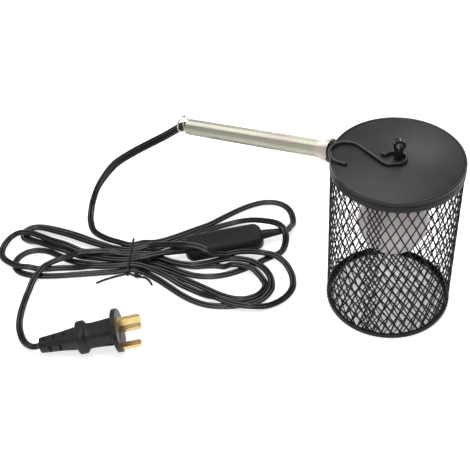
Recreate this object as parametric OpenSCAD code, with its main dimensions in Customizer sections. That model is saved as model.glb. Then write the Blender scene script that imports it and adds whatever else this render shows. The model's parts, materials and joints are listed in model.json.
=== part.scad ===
// Caged reptile heat lamp: a round mesh cage, a lid that carries the lamp holder,
// a wound spring that guards the cord, and a mains cord with a switch and a plug.
// Millimetres. Z is up, the origin is the middle of the cage's underside,
// +X is to the right and +Y is away from the front.

/* [Cage] */
// Radius over the cage's rims
cage_r = 60; // [55:0.5:70]
// Height of the lid's top over the table
cage_h = 171.6; // [165:0.2:200]
// Thickness of the mesh sheet
mesh_t = 1; // [0.6:0.1:1.4]
// Width of one mesh strand
strand_w = 1.3; // [0.9:0.1:1.8]
// Width of one mesh cell
cell_w = 8.9; // [8:0.1:14]
// Height of one mesh cell
cell_h = 17.4; // [15:0.1:24]
// Wall of the rolled rims
rim_t = 0.6; // [0.4:0.1:0.8]
// Height of the bottom rim
bottom_rim_h = 8; // [6:0.5:14]
// Height of the band under the lid
top_rim_h = 5.6; // [4:0.2:8]
// Width of the ledge that holds the floor mesh
ledge_w = 4; // [2.5:0.5:6]

/* [Lid] */
// Thickness of the lid's sheet
lid_t = 1; // [0.8:0.1:1.4]
// Depth of the lid's skirt
skirt_h = 5; // [4:0.2:7]
// Radius of the lid's rolled edge
lid_edge_r = 1.2; // [0.6:0.1:2]
// Radius of the threaded shank through the lid
shank_r = 4; // [3:0.25:5]
// Height of the hanging eye over the lid
eye_h = 20.4; // [18:0.2:30]
// Radius of the hole in the hanging eye
eye_hole_r = 3; // [2:0.1:3.4]
// Thickness of the flattened eye
eye_t = 5; // [3:0.25:7]
// Height of the nut under the lid
nut_h = 3.2; // [2.5:0.1:5]

/* [Lamp holder and bulb] */
// Radius of the porcelain holder
socket_r = 21; // [19:0.5:25]
// Length of the porcelain holder
socket_h = 34; // [32:0.5:38]
// Radius of the bulb's screw cap
cap_r = 13.1; // [12:0.1:13.6]
// Length of the bulb's screw cap
cap_h = 21; // [19:0.5:23]
// Thread pitch of the screw cap
cap_pitch = 3.6; // [3:0.1:4.2]
// Radius of the glass globe
globe_r = 32.5; // [28:0.5:36]
// Wall of the glass
glass_t = 0.8; // [0.6:0.1:1.2]
// Gap between the bulb and its holder
bulb_gap = 0.4; // [0.3:0.05:0.6]

/* [Hook] */
// Radius of the hook's wire
hook_wire_r = 1.5; // [1:0.1:1.8]
// Radius of the hook's small loop
small_loop_r = 8.3; // [8.2:0.1:9]
// Radius of the hook's large loop
large_loop_r = 15; // [12:0.25:16]

/* [Cord guard] */
// Outer radius of the spring
guard_r = 8.25; // [8:0.05:10]
// Radius of the spring's wire
guard_wire_r = 1; // [0.8:0.05:1.1]
// Outer radius of the spring's flared mouth
flare_r = 11.7; // [10:0.1:12.5]
// Length of the flared mouth
flare_len = 13; // [10:0.5:18]
// Length of the spring without its end loop
guard_len = 181; // [150:1:190]
// Radius of the cord gland's barrel
gland_r = 5; // [4.6:0.1:5.4]

/* [Cord] */
// Width of the flat cord
cord_w = 6.6; // [5:0.1:6.8]
// Thickness of the flat cord
cord_t = 3.4; // [2.8:0.1:3.5]
// Radius of the twist tie's wire
tie_r = 0.6; // [0.4:0.1:0.8]

/* [Switch] */
// Length of the switch case
switch_len = 82; // [74:1:86]
// Width of the switch case
switch_w = 30; // [24:0.5:31]
// Thickness of the switch case
switch_h = 15; // [13:0.5:15.5]
// Radius of the case's corners in plan
switch_corner = 9; // [6:0.5:12]
// Wall of the switch case
switch_wall = 1.6; // [1.2:0.1:2]
// Length of each strain relief on the switch
relief_len = 20; // [14:1:22]
// Length of the rocker
rocker_len = 20; // [16:0.5:24]
// Swing of the rocker in degrees
rocker_swing = 12; // [8:1:14]

/* [Plug] */
// Radius of the plug's round face
plug_face_r = 21; // [19.5:0.25:24]
// Distance from the line of the two lower pins to the earth pin
pin_row = 22.2; // [20:0.1:24]
// Distance between the live and neutral pins
pin_gap = 22.2; // [20:0.1:24]
// Length of the live and neutral pins
pin_len = 17.7; // [15:0.1:20]
// Length of the earth pin
earth_len = 22.7; // [20:0.1:25]

/* [Hidden] */
$fn = 96;
seat = 0.3;          // gap between pieces that rest on each other and come apart
fit = 0.1;           // gap between pieces that stay together
lap = 0.05;          // overlap of two shapes that make one solid
black = [0.16, 0.16, 0.165];
soft_black = [0.1, 0.1, 0.105];
steel = [0.72, 0.72, 0.7];
zinc = [0.8, 0.78, 0.62];
brass = [0.8, 0.66, 0.32];
porcelain = [0.93, 0.92, 0.88];
frosted = [0.78, 0.7, 0.7];

// Levels and radii of the cage
lid_top = cage_h;
lid_under = lid_top - lid_t;
skirt_low = lid_top - skirt_h;
rim_top = skirt_low - seat;
rim_low = rim_top - top_rim_h;
neck_top = lid_under - seat;
mesh_r = cage_r - rim_t - fit;
rim_inner_r = mesh_r - mesh_t - fit - rim_t;
neck_r = cage_r - lid_t - seat;
mesh_low = rim_t + 3;
mesh_high = rim_top - rim_t - fit;

// The cord leaves through a port whose axis points out and a little down
port_dir = 141;
port_droop = 14.5;
port_at = [-52.5, 38.3, 153];
axis_h = [cos(port_dir)*cos(port_droop), sin(port_dir)*cos(port_droop), -sin(port_droop)];
axis_u = [-sin(port_dir), cos(port_dir), 0];
axis_v = cross(axis_h, axis_u);
function along_port(s) = port_at + s*axis_h;
notch_w = 2*gland_r + 3;
notch_low = port_at[2] - 4.8;

module on_port(s) translate(along_port(s)) rotate([0, 90 + port_droop, port_dir]) children();
module port_notch()
  translate([port_at[0], port_at[1], notch_low]) rotate([0, 0, port_dir])
    translate([-22, -notch_w/2, 0]) cube([25, notch_w, cage_h]);

// Expanded-metal mesh round a cylinder: every cell is a hole with four walls, and the
// strands between the holes have a flat back and a ridge that faces out
mesh_cols = 2*round(PI*mesh_r/cell_w);
mesh_rows = 2*round((mesh_high - mesh_low)/cell_h);
mesh_step_h = (mesh_high - mesh_low)/mesh_rows;
mesh_step_w = PI*mesh_r/mesh_cols;
mesh_inset = 1 - strand_w/2*sqrt(1/pow(mesh_step_w, 2) + 1/pow(mesh_step_h, 2));
function mesh_at(r, c, k) = let (a = 180*c/mesh_cols) [r*cos(a), r*sin(a), mesh_low + k*mesh_step_h];
function mesh_slot(c) = floor(((c + 2*mesh_cols) % (2*mesh_cols))/2);
function knot(k, c) = k*mesh_cols + mesh_slot(c);
function corner(k, c, q) = (mesh_rows + 1)*mesh_cols + 4*(k*mesh_cols + mesh_slot(c)) + q;
mesh_knots = [for (k = [0:mesh_rows], i = [0:mesh_cols - 1]) mesh_at(mesh_r, 2*i + k%2, k)];
mesh_corners = [for (k = [0:mesh_rows], i = [0:mesh_cols - 1])
  let (c = 2*i + (k + 1)%2, f = mesh_inset, r = mesh_r - mesh_t)
  each [mesh_at(r, c - f, k), mesh_at(r, c, max(k - f, 0)),
        mesh_at(r, c + f, k), mesh_at(r, c, min(k + f, mesh_rows))]];
mesh_walls = [for (k = [0:mesh_rows], i = [0:mesh_cols - 1]) let (c = 2*i + (k + 1)%2) each concat(
  k > 0 ? [[corner(k, c, 0), corner(k, c, 1), knot(k - 1, c), knot(k, c - 1)],
           [corner(k, c, 1), corner(k, c, 2), knot(k, c + 1), knot(k - 1, c)]] : [],
  k < mesh_rows ? [[corner(k, c, 2), corner(k, c, 3), knot(k + 1, c), knot(k, c + 1)],
                   [corner(k, c, 3), corner(k, c, 0), knot(k, c - 1), knot(k + 1, c)]] : [])];
mesh_backs = [for (k = [0:mesh_rows - 1], i = [0:mesh_cols - 1]) let (c = 2*i + k%2) each [
  [corner(k, c + 1, 0), corner(k, c + 1, 3), corner(k + 1, c, 2), corner(k + 1, c, 1)],
  [corner(k, c - 1, 2), corner(k + 1, c, 1), corner(k + 1, c, 0), corner(k, c - 1, 3)]]];
mesh_crossings = [for (k = [0:mesh_rows], i = [0:mesh_cols - 1]) let (c = 2*i + k%2)
  concat([corner(k, c - 1, 2)], k > 0 ? [corner(k - 1, c, 3)] : [],
         [corner(k, c + 1, 0)], k < mesh_rows ? [corner(k + 1, c, 1)] : [])];
mesh_ends = [for (i = [0:mesh_cols - 1]) let (c = 2*i, d = 2*i + mesh_rows%2) each [
  [knot(0, c), corner(0, c + 1, 0), corner(0, c - 1, 2)],
  [knot(mesh_rows, d), corner(mesh_rows, d - 1, 2), corner(mesh_rows, d + 1, 0)]]];

module cage_mesh() color(black) difference() {
  polyhedron(points = concat(mesh_knots, mesh_corners),
             faces = concat(mesh_walls, mesh_backs, mesh_crossings, mesh_ends));
  port_notch();
}

// Folded band that grips the mesh and ends in a neck for the lid
module cage_top_rim() color(black) difference() {
  rotate_extrude() polygon([
    [rim_inner_r, rim_low], [rim_inner_r + rim_t, rim_low], [rim_inner_r + rim_t, rim_top - rim_t],
    [cage_r - rim_t, rim_top - rim_t], [cage_r - rim_t, rim_low], [cage_r, rim_low],
    [cage_r, rim_top], [neck_r, rim_top], [neck_r, neck_top],
    [neck_r - rim_t, neck_top], [neck_r - rim_t, rim_top], [rim_inner_r, rim_top]]);
  port_notch();
}

// Folded band that grips the mesh and turns in under the floor mesh
floor_mesh_r = rim_inner_r - fit;
module cage_bottom_rim() color(black) rotate_extrude() polygon([
  [rim_inner_r - ledge_w, 0], [cage_r - rim_t, 0], [cage_r, rim_t], [cage_r, bottom_rim_h],
  [cage_r - rim_t, bottom_rim_h], [cage_r - rim_t, rim_t], [rim_inner_r + rim_t, rim_t],
  [rim_inner_r + rim_t, bottom_rim_h], [rim_inner_r, bottom_rim_h],
  [rim_inner_r, rim_t], [rim_inner_r - ledge_w, rim_t]]);

// Flat disc of the same mesh, cut round, with its edge on the ledge
module cage_floor_mesh() color(black) translate([0, 0, rim_t])
  linear_extrude(mesh_t) difference() {
    circle(r = floor_mesh_r);
    intersection() {
      circle(r = rim_inner_r - ledge_w + 1);
      for (k = [-8:8], i = [-8:8])
        translate([(i + (k%2 == 0 ? 0 : 0.5))*cell_w, k*cell_h/2])
          polygon([[-cell_w/2*mesh_inset, 0], [0, -cell_h/2*mesh_inset],
                   [cell_w/2*mesh_inset, 0], [0, cell_h/2*mesh_inset]]);
    }
  }

// Shallow pressed lid with a rolled edge and a hole for the hanging eye's shank
module lid() color(black) difference() {
  rotate_extrude() polygon(concat(
    [[0, lid_under], [cage_r - lid_t, lid_under], [cage_r - lid_t, skirt_low], [cage_r, skirt_low]],
    arc(cage_r - lid_edge_r, lid_top - lid_edge_r, lid_edge_r, 0, 90, 6), [[0, lid_top]]));
  translate([0, 0, lid_under - 1]) cylinder(r = thread_r + fit, h = lid_t + 2);
}

// Eye with a threaded shank that passes through the lid, the bracket and the nut
thread_r = shank_r - 0.8;
bracket_t = 1.2;
washer_t = 1;
washer_low = lid_under - washer_t;
bracket_low = washer_low - bracket_t;
nut_low = bracket_low - nut_h;
eye_r = shank_r + 1.4;
eye_z = lid_top + eye_h - eye_r;
module hanging_eye() color(black) difference() {
  union() {
    translate([0, 0, nut_low - seat]) cylinder(r = thread_r, h = lid_top - nut_low + 2*seat);
    translate([0, 0, lid_top]) cylinder(r = shank_r, h = eye_z - eye_hole_r - 0.6 - lid_top);
    translate([0, 0, eye_z]) rotate([90, 0, 0]) cylinder(r = eye_r, h = eye_t, center = true);
  }
  translate([0, 0, eye_z]) rotate([90, 0, 0]) cylinder(r = eye_hole_r, h = 3*shank_r, center = true);
}
module lock_washer() color(steel) translate([0, 0, washer_low]) difference() {
  cylinder(r = shank_r + 3.5, h = washer_t);
  translate([0, 0, -1]) cylinder(r = thread_r + fit, h = washer_t + 2);
}
module eye_nut() color(steel) translate([0, 0, nut_low]) difference() {
  cylinder(r = shank_r + 3.5, h = nut_h, $fn = 6);
  translate([0, 0, -1]) cylinder(r = thread_r + fit, h = nut_h + 2);
}

// Strap that hangs the porcelain holder from the shank
socket_top = nut_low - 0.6;
socket_low = socket_top - socket_h;
strap_w = 12;
strap_x = socket_r - 5.5;
screw_r = 1.5;
module socket_bracket() color(steel) difference() {
  union() {
    translate([-strap_x - 3, -strap_w/2, bracket_low]) cube([2*strap_x + 6, strap_w, bracket_t]);
    for (s = [-1, 1]) {
      translate([s*(strap_x + 3 - bracket_t/2) - bracket_t/2, -strap_w/2, socket_top])
        cube([bracket_t, strap_w, bracket_low - socket_top + bracket_t]);
      translate([s*(strap_x - 0.5) - 3.5, -strap_w/2, socket_top]) cube([7, strap_w, bracket_t]);
    }
  }
  translate([0, 0, bracket_low - 1]) cylinder(r = thread_r + fit, h = bracket_t + 2);
  for (s = [-1, 1])
    translate([s*(strap_x - 0.5), 0, socket_top - 1]) cylinder(r = screw_r + fit, h = bracket_t + 2);
}

// Porcelain holder: a stepped body with a screw cavity open below
shell_r = cap_r + bulb_gap;
shell_t = 0.5;
cavity_h = cap_h + 6.1;
module socket_body() color(porcelain) difference() {
  rotate_extrude() polygon(concat(
    [[0, socket_low], [socket_r - 3.5, socket_low], [socket_r - 2.5, socket_low + 1],
     [socket_r - 2.5, socket_low + 14], [socket_r - 1, socket_low + 15.5],
     [socket_r, socket_low + 17], [socket_r, socket_top - 2]],
    [for (a = [0:15:90]) [socket_r - 2 + 2*cos(a), socket_top - 2 + 2*sin(a)]],
    [[0, socket_top]]));
  translate([0, 0, socket_low - 1]) cylinder(r = shell_r + shell_t + fit, h = cavity_h + 1);
  for (s = [-1, 1]) {
    translate([s*(strap_x - 0.5), 0, socket_top - 6]) cylinder(r = screw_r + fit, h = 7);
    translate([0, s*(socket_r - 6.5), socket_top - 6]) cylinder(r = 2 + fit, h = 7);
  }
}
module socket_screws() color(steel) for (s = [-1, 1]) translate([s*(strap_x - 0.5), 0, socket_top]) {
  translate([0, 0, -5.5]) cylinder(r = screw_r, h = 5.5 + bracket_t + fit);
  translate([0, 0, bracket_t + fit]) cylinder(r1 = screw_r + 0.6, r2 = screw_r + 0.2, h = 1.2);
}

// Rolled thread form shared by the holder's shell and the bulb's cap: a row of round ridges
function thread_outline(r, z, h, depth) = [for (t = [0:30:360*round(h/cap_pitch)])
  [r - depth + depth*sin(t), z + h*t/(360*round(h/cap_pitch))]];
module socket_shell() color(brass) translate([0, 0, socket_low + 1]) difference() {
  cylinder(r = shell_r + shell_t, h = cavity_h - 1.2);
  translate([0, 0, -1]) cylinder(r = shell_r, h = cavity_h + 2);
}
contact_z = socket_low + cavity_h;
module socket_contact() color(brass) {
  translate([0, 0, contact_z - 0.2 - fit]) cylinder(r = 6, h = 0.2);
  translate([-2.5, -1.5, contact_z - 0.9]) cube([5, 3, 0.7]);
}
module terminal_screws() color(brass) for (s = [-1, 1]) translate([0, s*(socket_r - 6.5), socket_top - 5.5]) {
  cylinder(r = 2, h = 5.9);
  translate([0, 0, 5.9 - lap]) difference() {
    cylinder(r = 2.6, h = 1.6);
    translate([-3, -0.4, 0.8]) cube([6, 0.8, 1]);
  }
}

// Swept tubes: points on a smooth curve through the route, and a ring on each point
function spline(p, n) = [for (i = [0:len(p) - 2]) let (
    a = p[max(i - 1, 0)], b = p[i], c = p[i + 1], d = p[min(i + 2, len(p) - 1)])
  for (k = [0:(i == len(p) - 2 ? n : n - 1)]) let (t = k/n)
    0.5*(2*b + (c - a)*t + (2*a - 5*b + 4*c - d)*t*t + (3*b - a - 3*c + d)*t*t*t)];
function unit(v) = v/norm(v);
function run(q, i) = unit(q[min(i + 1, len(q) - 1)] - q[max(i - 1, 0)]);
function flat_side(t) = unit(cross([0, 0, 1], t));
function flat_ring(c, t, w, h, sides) = let (u = flat_side(t), v = cross(t, u), f = sides == 6 ? sin(60) : 1)
  [for (k = [0:sides - 1]) let (a = 360*k/sides) c + u*(w/2*cos(a)) + v*(h/2*sin(a)/f)];
module skin(rings) {
  n = len(rings[0]);
  m = len(rings);
  polyhedron(points = [for (r = rings) each r], faces = concat(
    [[for (k = [0:n - 1]) k]],
    [for (i = [0:m - 2], k = [0:n - 1]) let (a = i*n + k, b = i*n + (k + 1)%n) each
      [[a, a + n, b + n], [a, b + n, b]]],
    [[for (k = [n - 1:-1:0]) (m - 1)*n + k]]));
}
module flat_tube(q, w, h, sides)
  skin([for (i = [0:len(q) - 1]) flat_ring(q[i], run(q, i), w, h, sides)]);

// Two insulated leads from the gland to the holder's terminals
lead_r = 1.1;
inner_start_s = -24.2;
lead_gap = 0.6;
lead_plan = [[[-28, 7], [-23, -8], [-12, -16]], [[-26, 20], [-18, 22], [-8, 19.5]]];
module inner_leads() color([0.35, 0.2, 0.15]) for (k = [0, 1]) {
  s = 1 - 2*k;
  from = along_port(inner_start_s - lead_gap) - s*1.7*axis_u;
  q = spline(concat([from, from - 4*axis_h], [for (p = lead_plan[k]) [p[0], p[1], socket_top + 3]],
    [[0, -s*(socket_r - 6.5), socket_top + 2.2 + lead_r]]), 3);
  flat_tube(q, 2*lead_r, 2*lead_r, 6);
}

// Tongue under the lid that carries the cord gland
tongue_s = -15;
tongue_w = 14;
gland_flange_s = -1;
module gland_bracket() color(steel) difference() {
  intersection() {
    on_port(tongue_s) translate([-30, -tongue_w/2, -bracket_t]) cube([40, tongue_w, bracket_t]);
    translate([0, 0, notch_low - 2]) cylinder(r = cage_r - 3.4, h = lid_under - notch_low + 2);
  }
  on_port(tongue_s - 5) cylinder(r = gland_r + fit, h = 10);
}
module cord_gland() color(soft_black) difference() {
  union() {
    on_port(tongue_s - bracket_t - 6) cylinder(r = gland_r, h = 6 + bracket_t - tongue_s + gland_flange_s);
    on_port(tongue_s) cylinder(r = gland_r + 1.2, h = 1.5);
    on_port(gland_flange_s - lap) cylinder(r = gland_r + 3, h = 2.5);
    on_port(gland_flange_s + 2) cylinder(r = gland_r + 0.5, h = flare_len - 3);
  }
  on_port(tongue_s - bracket_t - 7) cylinder(r = cord_w/2 + 0.2, h = 50);
}
module gland_nut() color(soft_black) difference() {
  on_port(tongue_s - bracket_t - 4) cylinder(r = gland_r + 2.6, h = 4, $fn = 6);
  on_port(tongue_s - bracket_t - 5) cylinder(r = gland_r + fit, h = 6);
}

// Spring guard: one wire wound from the flared mouth to the last turn, then a raised end loop
guard_pitch = 2*guard_wire_r + 0.85;
guard_turns = floor((guard_len - flare_len)/guard_pitch);
flare_turns = 3;
coil_r = guard_r - guard_wire_r;
mouth_r = flare_r - guard_wire_r;
rings_a_turn = 7;
function wind(r, s, a) = along_port(s) + r*(cos(a)*axis_u + sin(a)*axis_v);
function ease(t) = t*t*(3 - 2*t);
body_s = flare_len;
body_end = body_s + guard_turns*guard_pitch;
loop_reach = 8;
loop_rise = 1.6;
loop_lean = 1.8;
guard_line = concat(
  [for (k = [0:flare_turns*rings_a_turn - 1]) let (t = k/(flare_turns*rings_a_turn))
    wind(mouth_r + (coil_r - mouth_r)*ease(t), guard_wire_r + (body_s - guard_wire_r)*t, 360*t*flare_turns)],
  [for (k = [0:guard_turns*rings_a_turn]) let (t = k/rings_a_turn)
    wind(coil_r, body_s + guard_pitch*t, 360*t)],
  [for (k = [1:14]) let (a = 30*k, t = ease(min(k/5, 1)))
    wind(coil_r, body_end + t*(loop_reach - loop_lean*sin(a)), a) + t*loop_rise*axis_v]);
function round_ring(c, t, u0, r, sides) = let (u = unit(u0 - t*(u0*t)), v = cross(t, u))
  [for (k = [0:sides - 1]) let (a = 360*k/sides) c + r*(u*cos(a) + v*sin(a))];
module spring_guard() color(zinc)
  skin([for (i = [0:len(guard_line) - 1]) let (t = run(guard_line, i),
      out = guard_line[i] - along_port((guard_line[i] - port_at)*axis_h) + axis_h*0.01)
    round_ring(guard_line[i], t, out, guard_wire_r, 5)]);

// Cord inside the guard, from the gland's inner end to the last turn
inner_end_s = body_end + 3;
module cord_in_guard() color(soft_black)
  skin([for (s = [inner_start_s, body_end, inner_end_s])
    flat_ring(along_port(s), axis_h, cord_w, cord_t, 8)]);

// Bulb: a screw cap with a solder tip, a hollow globe and its filament mount
cap_top = socket_low + cavity_h - 1.2;
cap_low = cap_top - cap_h;
thread_depth = 0.4;
neck_in = cap_r - 2*thread_depth - 0.3 - fit;
neck_arc = 9;
neck_z = cap_low - 0.6;
neck_drop = sqrt(pow(globe_r + neck_arc, 2) - pow(neck_in + neck_arc, 2));
globe_z = neck_z - neck_drop;
neck_angle = atan2(neck_drop, neck_in + neck_arc);
function arc(x, z, r, a, b, n) = [for (i = [0:n]) let (t = a + (b - a)*i/n) [x + r*cos(t), z + r*sin(t)]];
module glass_profile(o, top) polygon(concat(arc(0, globe_z, globe_r - o, -90, neck_angle, 30),
  arc(neck_in + neck_arc, neck_z, neck_arc + o, 180 + neck_angle, 180, 8),
  [[neck_in - o, top], [0, top]]));
module bulb_globe() color(frosted) difference() {
  rotate_extrude() glass_profile(0, cap_low + 2);
  rotate_extrude() glass_profile(glass_t, cap_low + 3);
}
module bulb_cap() color(brass) rotate_extrude() polygon(concat(
  [[neck_in + fit, cap_low], [cap_r - 0.1, cap_low]],
  thread_outline(cap_r, cap_low + 1.5, 4*cap_pitch, thread_depth),
  [[cap_r - 1, cap_top - 3.2], [5.5, cap_top - 1.6], [4.5, cap_top - 1.6], [4.5, cap_top - 2.2],
   [cap_r - 2.4, cap_top - 4.2], [neck_in + fit, cap_top - 5.2]]));
module bulb_contact() color(steel) translate([0, 0, cap_top - 2.4]) {
  cylinder(r = 4.3, h = 1.6);
  translate([0, 0, 1.6]) cylinder(r1 = 3.4, r2 = 2.4, h = 0.8);
}
module filament_mount() color(steel) {
  translate([0, 0, cap_low]) cylinder(r = neck_in - glass_t - fit, h = 1.9);
  translate([0, 0, globe_z + 8]) cylinder(r = 3, h = cap_low + 1.9 - globe_z - 8);
  for (s = [-1, 1]) translate([0, s*2, globe_z + 8.5]) rotate([s*50, 0, 0])
    mirror([0, 0, 1]) cylinder(r = 0.5, h = 14);
  translate([0, 0, globe_z - 0.1]) rotate([90, 0, 0]) cylinder(r = 1, h = 22, center = true);
}

// Hanging hook: straights and arcs laid end to end, flat on the lid, round the shank
hook_z = lid_top + seat + hook_wire_r;
hook_start = [-12.5, small_loop_r - 2.4];
hook_path = [["line", 12], ["arc", small_loop_r, -180], ["line", 6.5], ["arc", small_loop_r, -55],
  ["line", 30.2], ["arc", large_loop_r, 225]];
function walk(i, p, h) = i == len(hook_path) ? [p] : let (q = hook_path[i])
  q[0] == "line" ? concat([p], walk(i + 1, p + q[1]*[cos(h), sin(h)], h)) :
  let (a = q[2], r = q[1]*sign(a), n = ceil(abs(a)/20), mid = p + r*[-sin(h), cos(h)])
    concat([for (k = [0:n - 1]) mid + r*[sin(h + a*k/n), -cos(h + a*k/n)]],
           walk(i + 1, mid + r*[sin(h + a), -cos(h + a)], h + a));
hook_line = [for (p = walk(0, hook_start, 0)) [p[0], p[1], hook_z]];
module s_hook() color(black)
  skin([for (i = [0:len(hook_line) - 1])
    round_ring(hook_line[i], run(hook_line, i), [0, 0, 1], hook_wire_r, 8)]);

// Switch: its frame has +X along the case towards the lamp's end of the cord
switch_at = [-159, 77.8, 9.5];
switch_dir = 10;
module on_switch() translate(switch_at) rotate([0, 0, switch_dir]) children();
function on_switch_point(p) = switch_at
  + [p[0]*cos(switch_dir) - p[1]*sin(switch_dir), p[0]*sin(switch_dir) + p[1]*cos(switch_dir), p[2]];
module case_plan(o) hull() for (x = [-1, 1], y = [-1, 1])
  translate([x*(switch_len/2 - switch_corner), y*(switch_w/2 - switch_corner)])
    circle(r = switch_corner - o, $fn = 32);
module case_half(top) {
  s = top ? 1 : -1;
  mirror([0, 0, top ? 0 : 1]) difference() {
    union() {
      linear_extrude(switch_h/2 - 2.4) case_plan(0);
      translate([0, 0, switch_h/2 - 2.4]) linear_extrude(1.2) case_plan(0.7);
      translate([0, 0, switch_h/2 - 1.2]) linear_extrude(1.2) case_plan(2.2);
    }
    translate([0, 0, -1]) linear_extrude(switch_h/2 - switch_wall + 1) case_plan(switch_wall + 0.6);
    rotate([0, 90, 0]) cylinder(r = 3.2, h = switch_len + 4, center = true, $fn = 48);
  }
}
module switch_upper_shell() color(black) on_switch() translate([0, 0, fit/2]) case_half(true);
rocker_w = 11;
rocker_pivot_z = -switch_h/2 + 4.2;
rocker_pin_r = 1.2;
module switch_lower_shell() color(black) on_switch() translate([0, 0, -fit/2]) difference() {
  union() {
    case_half(false);
    for (s = [-1, 1]) translate([s*(switch_len/2 - 13), 0, -switch_h/2 + switch_wall - 0.2])
      cylinder(r = 3, h = switch_h/2 - switch_wall - 1, $fn = 48);
    for (s = [-1, 1]) translate([-2.4, s*(rocker_w/2 + 1.8) - 1.3, -switch_h/2 + switch_wall - lap])
      cube([4.8, 2.6, 5]);
  }
  translate([0, 0, rocker_pivot_z]) rotate([90, 0, 0])
    cylinder(r = rocker_pin_r + fit, h = rocker_w + 12, center = true, $fn = 48);
  translate([-rocker_len/2 - 1, -rocker_w/2 - 0.5, -switch_h/2 - 1]) cube([rocker_len + 2, rocker_w + 1, 5]);
  for (s = [-1, 1]) translate([s*(switch_len/2 - 13), 0, -switch_h/2 - 1])
    cylinder(r = 1.3, h = switch_h/2, $fn = 48);
  for (s = [-1, 1]) translate([s*(switch_len/2 - 13), 0, -switch_h/2 - 1])
    cylinder(r = 2.5, h = 2.4, $fn = 48);
}
module switch_screws() color(steel) on_switch() for (s = [-1, 1])
  translate([s*(switch_len/2 - 13), 0, -switch_h/2]) {
    cylinder(r = 2.3, h = 1.2, $fn = 48);
    translate([0, 0, 1.2]) cylinder(r = 1.2, h = 5, $fn = 48);
  }
module switch_rocker() color([0.3, 0.05, 0.05]) on_switch() translate([0, 0, rocker_pivot_z])
  rotate([0, rocker_swing/2, 0]) {
    rotate([90, 0, 0]) linear_extrude(rocker_w, center = true)
      polygon([[-rocker_len/2, -4], [-rocker_len/2 + 1, -4.6], [0, -3.6], [rocker_len/2 - 1, -4.6],
               [rocker_len/2, -4], [rocker_len/2 - 1, 0], [3, 1.2], [-3, 1.2], [-rocker_len/2 + 1, 0]]);
    rotate([90, 0, 0]) cylinder(r = rocker_pin_r, h = rocker_w + 5, center = true, $fn = 48);
  }
module switch_contacts() color(brass) on_switch() for (s = [-1, 1]) {
  translate([s*17 - 4, -3, 1]) cube([8, 6, 0.8]);
  translate([s*17 - 0.4, -3, -switch_h/2 + switch_wall]) cube([0.8, 6, switch_h/2 - switch_wall + 1 + lap]);
}
module switch_reliefs() color(soft_black) on_switch() for (s = [-1, 1]) mirror([s > 0 ? 0 : 1, 0, 0])
  difference() {
    union() {
      translate([switch_len/2 - switch_wall - 2.4, 0, 0]) rotate([0, 90, 0])
        cylinder(r = 4.4, h = 1.4, $fn = 48);
      translate([switch_len/2 - switch_wall - 1.4, 0, 0]) rotate([0, 90, 0])
        cylinder(r = 3.1, h = 4, $fn = 48);
      translate([switch_len/2 + 0.4, 0, 0]) rotate([0, 90, 0])
        cylinder(r1 = 4.2, r2 = 2.4, h = relief_len - 0.4, $fn = 48);
    }
    for (i = [0:2]) translate([switch_len/2 + 5 + 4.4*i, 0, 3.6])
      translate([0, -6, -0.9 - 0.2*i]) cube([1.2, 12, 3]);
  }

// The plug lies on the rim of its face: its frame has +X along the pins, with the origin on the face
plug_tilt = 9;
plug_len = 78;
plug_face_t = 5;
plug_at = [-260.5, -46.5, plug_face_r*cos(plug_tilt) + plug_face_t*sin(plug_tilt) + 0.02];
plug_dir = 2;
module on_plug() translate(plug_at) rotate([0, -plug_tilt, plug_dir]) children();
function plug_point(p) = let (x = p[0]*cos(plug_tilt) - p[2]*sin(plug_tilt),
    z = p[0]*sin(plug_tilt) + p[2]*cos(plug_tilt))
  plug_at + [x*cos(plug_dir) - p[1]*sin(plug_dir), x*sin(plug_dir) + p[1]*cos(plug_dir), z];

// Routes of the free cord, on its centre line. It leaves the spring, runs to the switch, and goes
// on from there to the plug. Each list is one stretch or one loop of the hank, and the cord
// passes the tie at x = -256, low in one layer (z 3.2) and high in the other (z 7.2)
lead = [[-213.5, 159, 89.5], [-229.5, 160, 80.3], [-250.5, 159.5, 69], [-271.5, 161, 53],
  [-290, 162, 28], [-299, 156, 11], [-302, 143, 3.5], [-301.5, 130, 1.8], [-297, 114.5, 1.8],
  [-284.5, 101.5, 3.2], [-270, 90.7, 6.3], [-256, 84, 7.2]];
right_1 = [[-243, 87, 6.7], [-229, 91.5, 2], [-211, 97.5, 1.8], [-190, 106.5, 1.8],
  [-172, 114.5, 1.8], [-154, 126, 1.8], [-134, 137.5, 1.8], [-116, 143.5, 1.8], [-101, 142.5, 1.8],
  [-91, 136, 1.8], [-85.5, 126, 1.8], [-84, 114.5, 2], [-85, 104, 4], [-88.5, 96.5, 7]];
left_1 = [[-235, 64, 9.6], [-244, 62.8, 9], [-256, 62.4, 7.2], [-269, 63.6, 6.8], [-283, 67.5, 6.1],
  [-297, 73, 6.2], [-311, 80.5, 8.3], [-325, 88, 10.4], [-339, 95, 10.2], [-352, 102.5, 10.4],
  [-364, 109, 10.4], [-375.5, 110.5, 9.8], [-385, 107.5, 6.4], [-391.5, 100, 3], [-393, 90, 1.8],
  [-389.5, 79, 4.2], [-381, 69.5, 5.9], [-371, 64, 5.9], [-361, 61.8, 5.9], [-353, 61.3, 3.4],
  [-344, 61.3, 1.8],
  [-332, 61.5, 1.8], [-320, 61, 1.8], [-309, 59.5, 3], [-297, 57.5, 5.7], [-284, 56, 5.9],
  [-270, 55.2, 6.6], [-256, 55.2, 7.2]];
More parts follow.
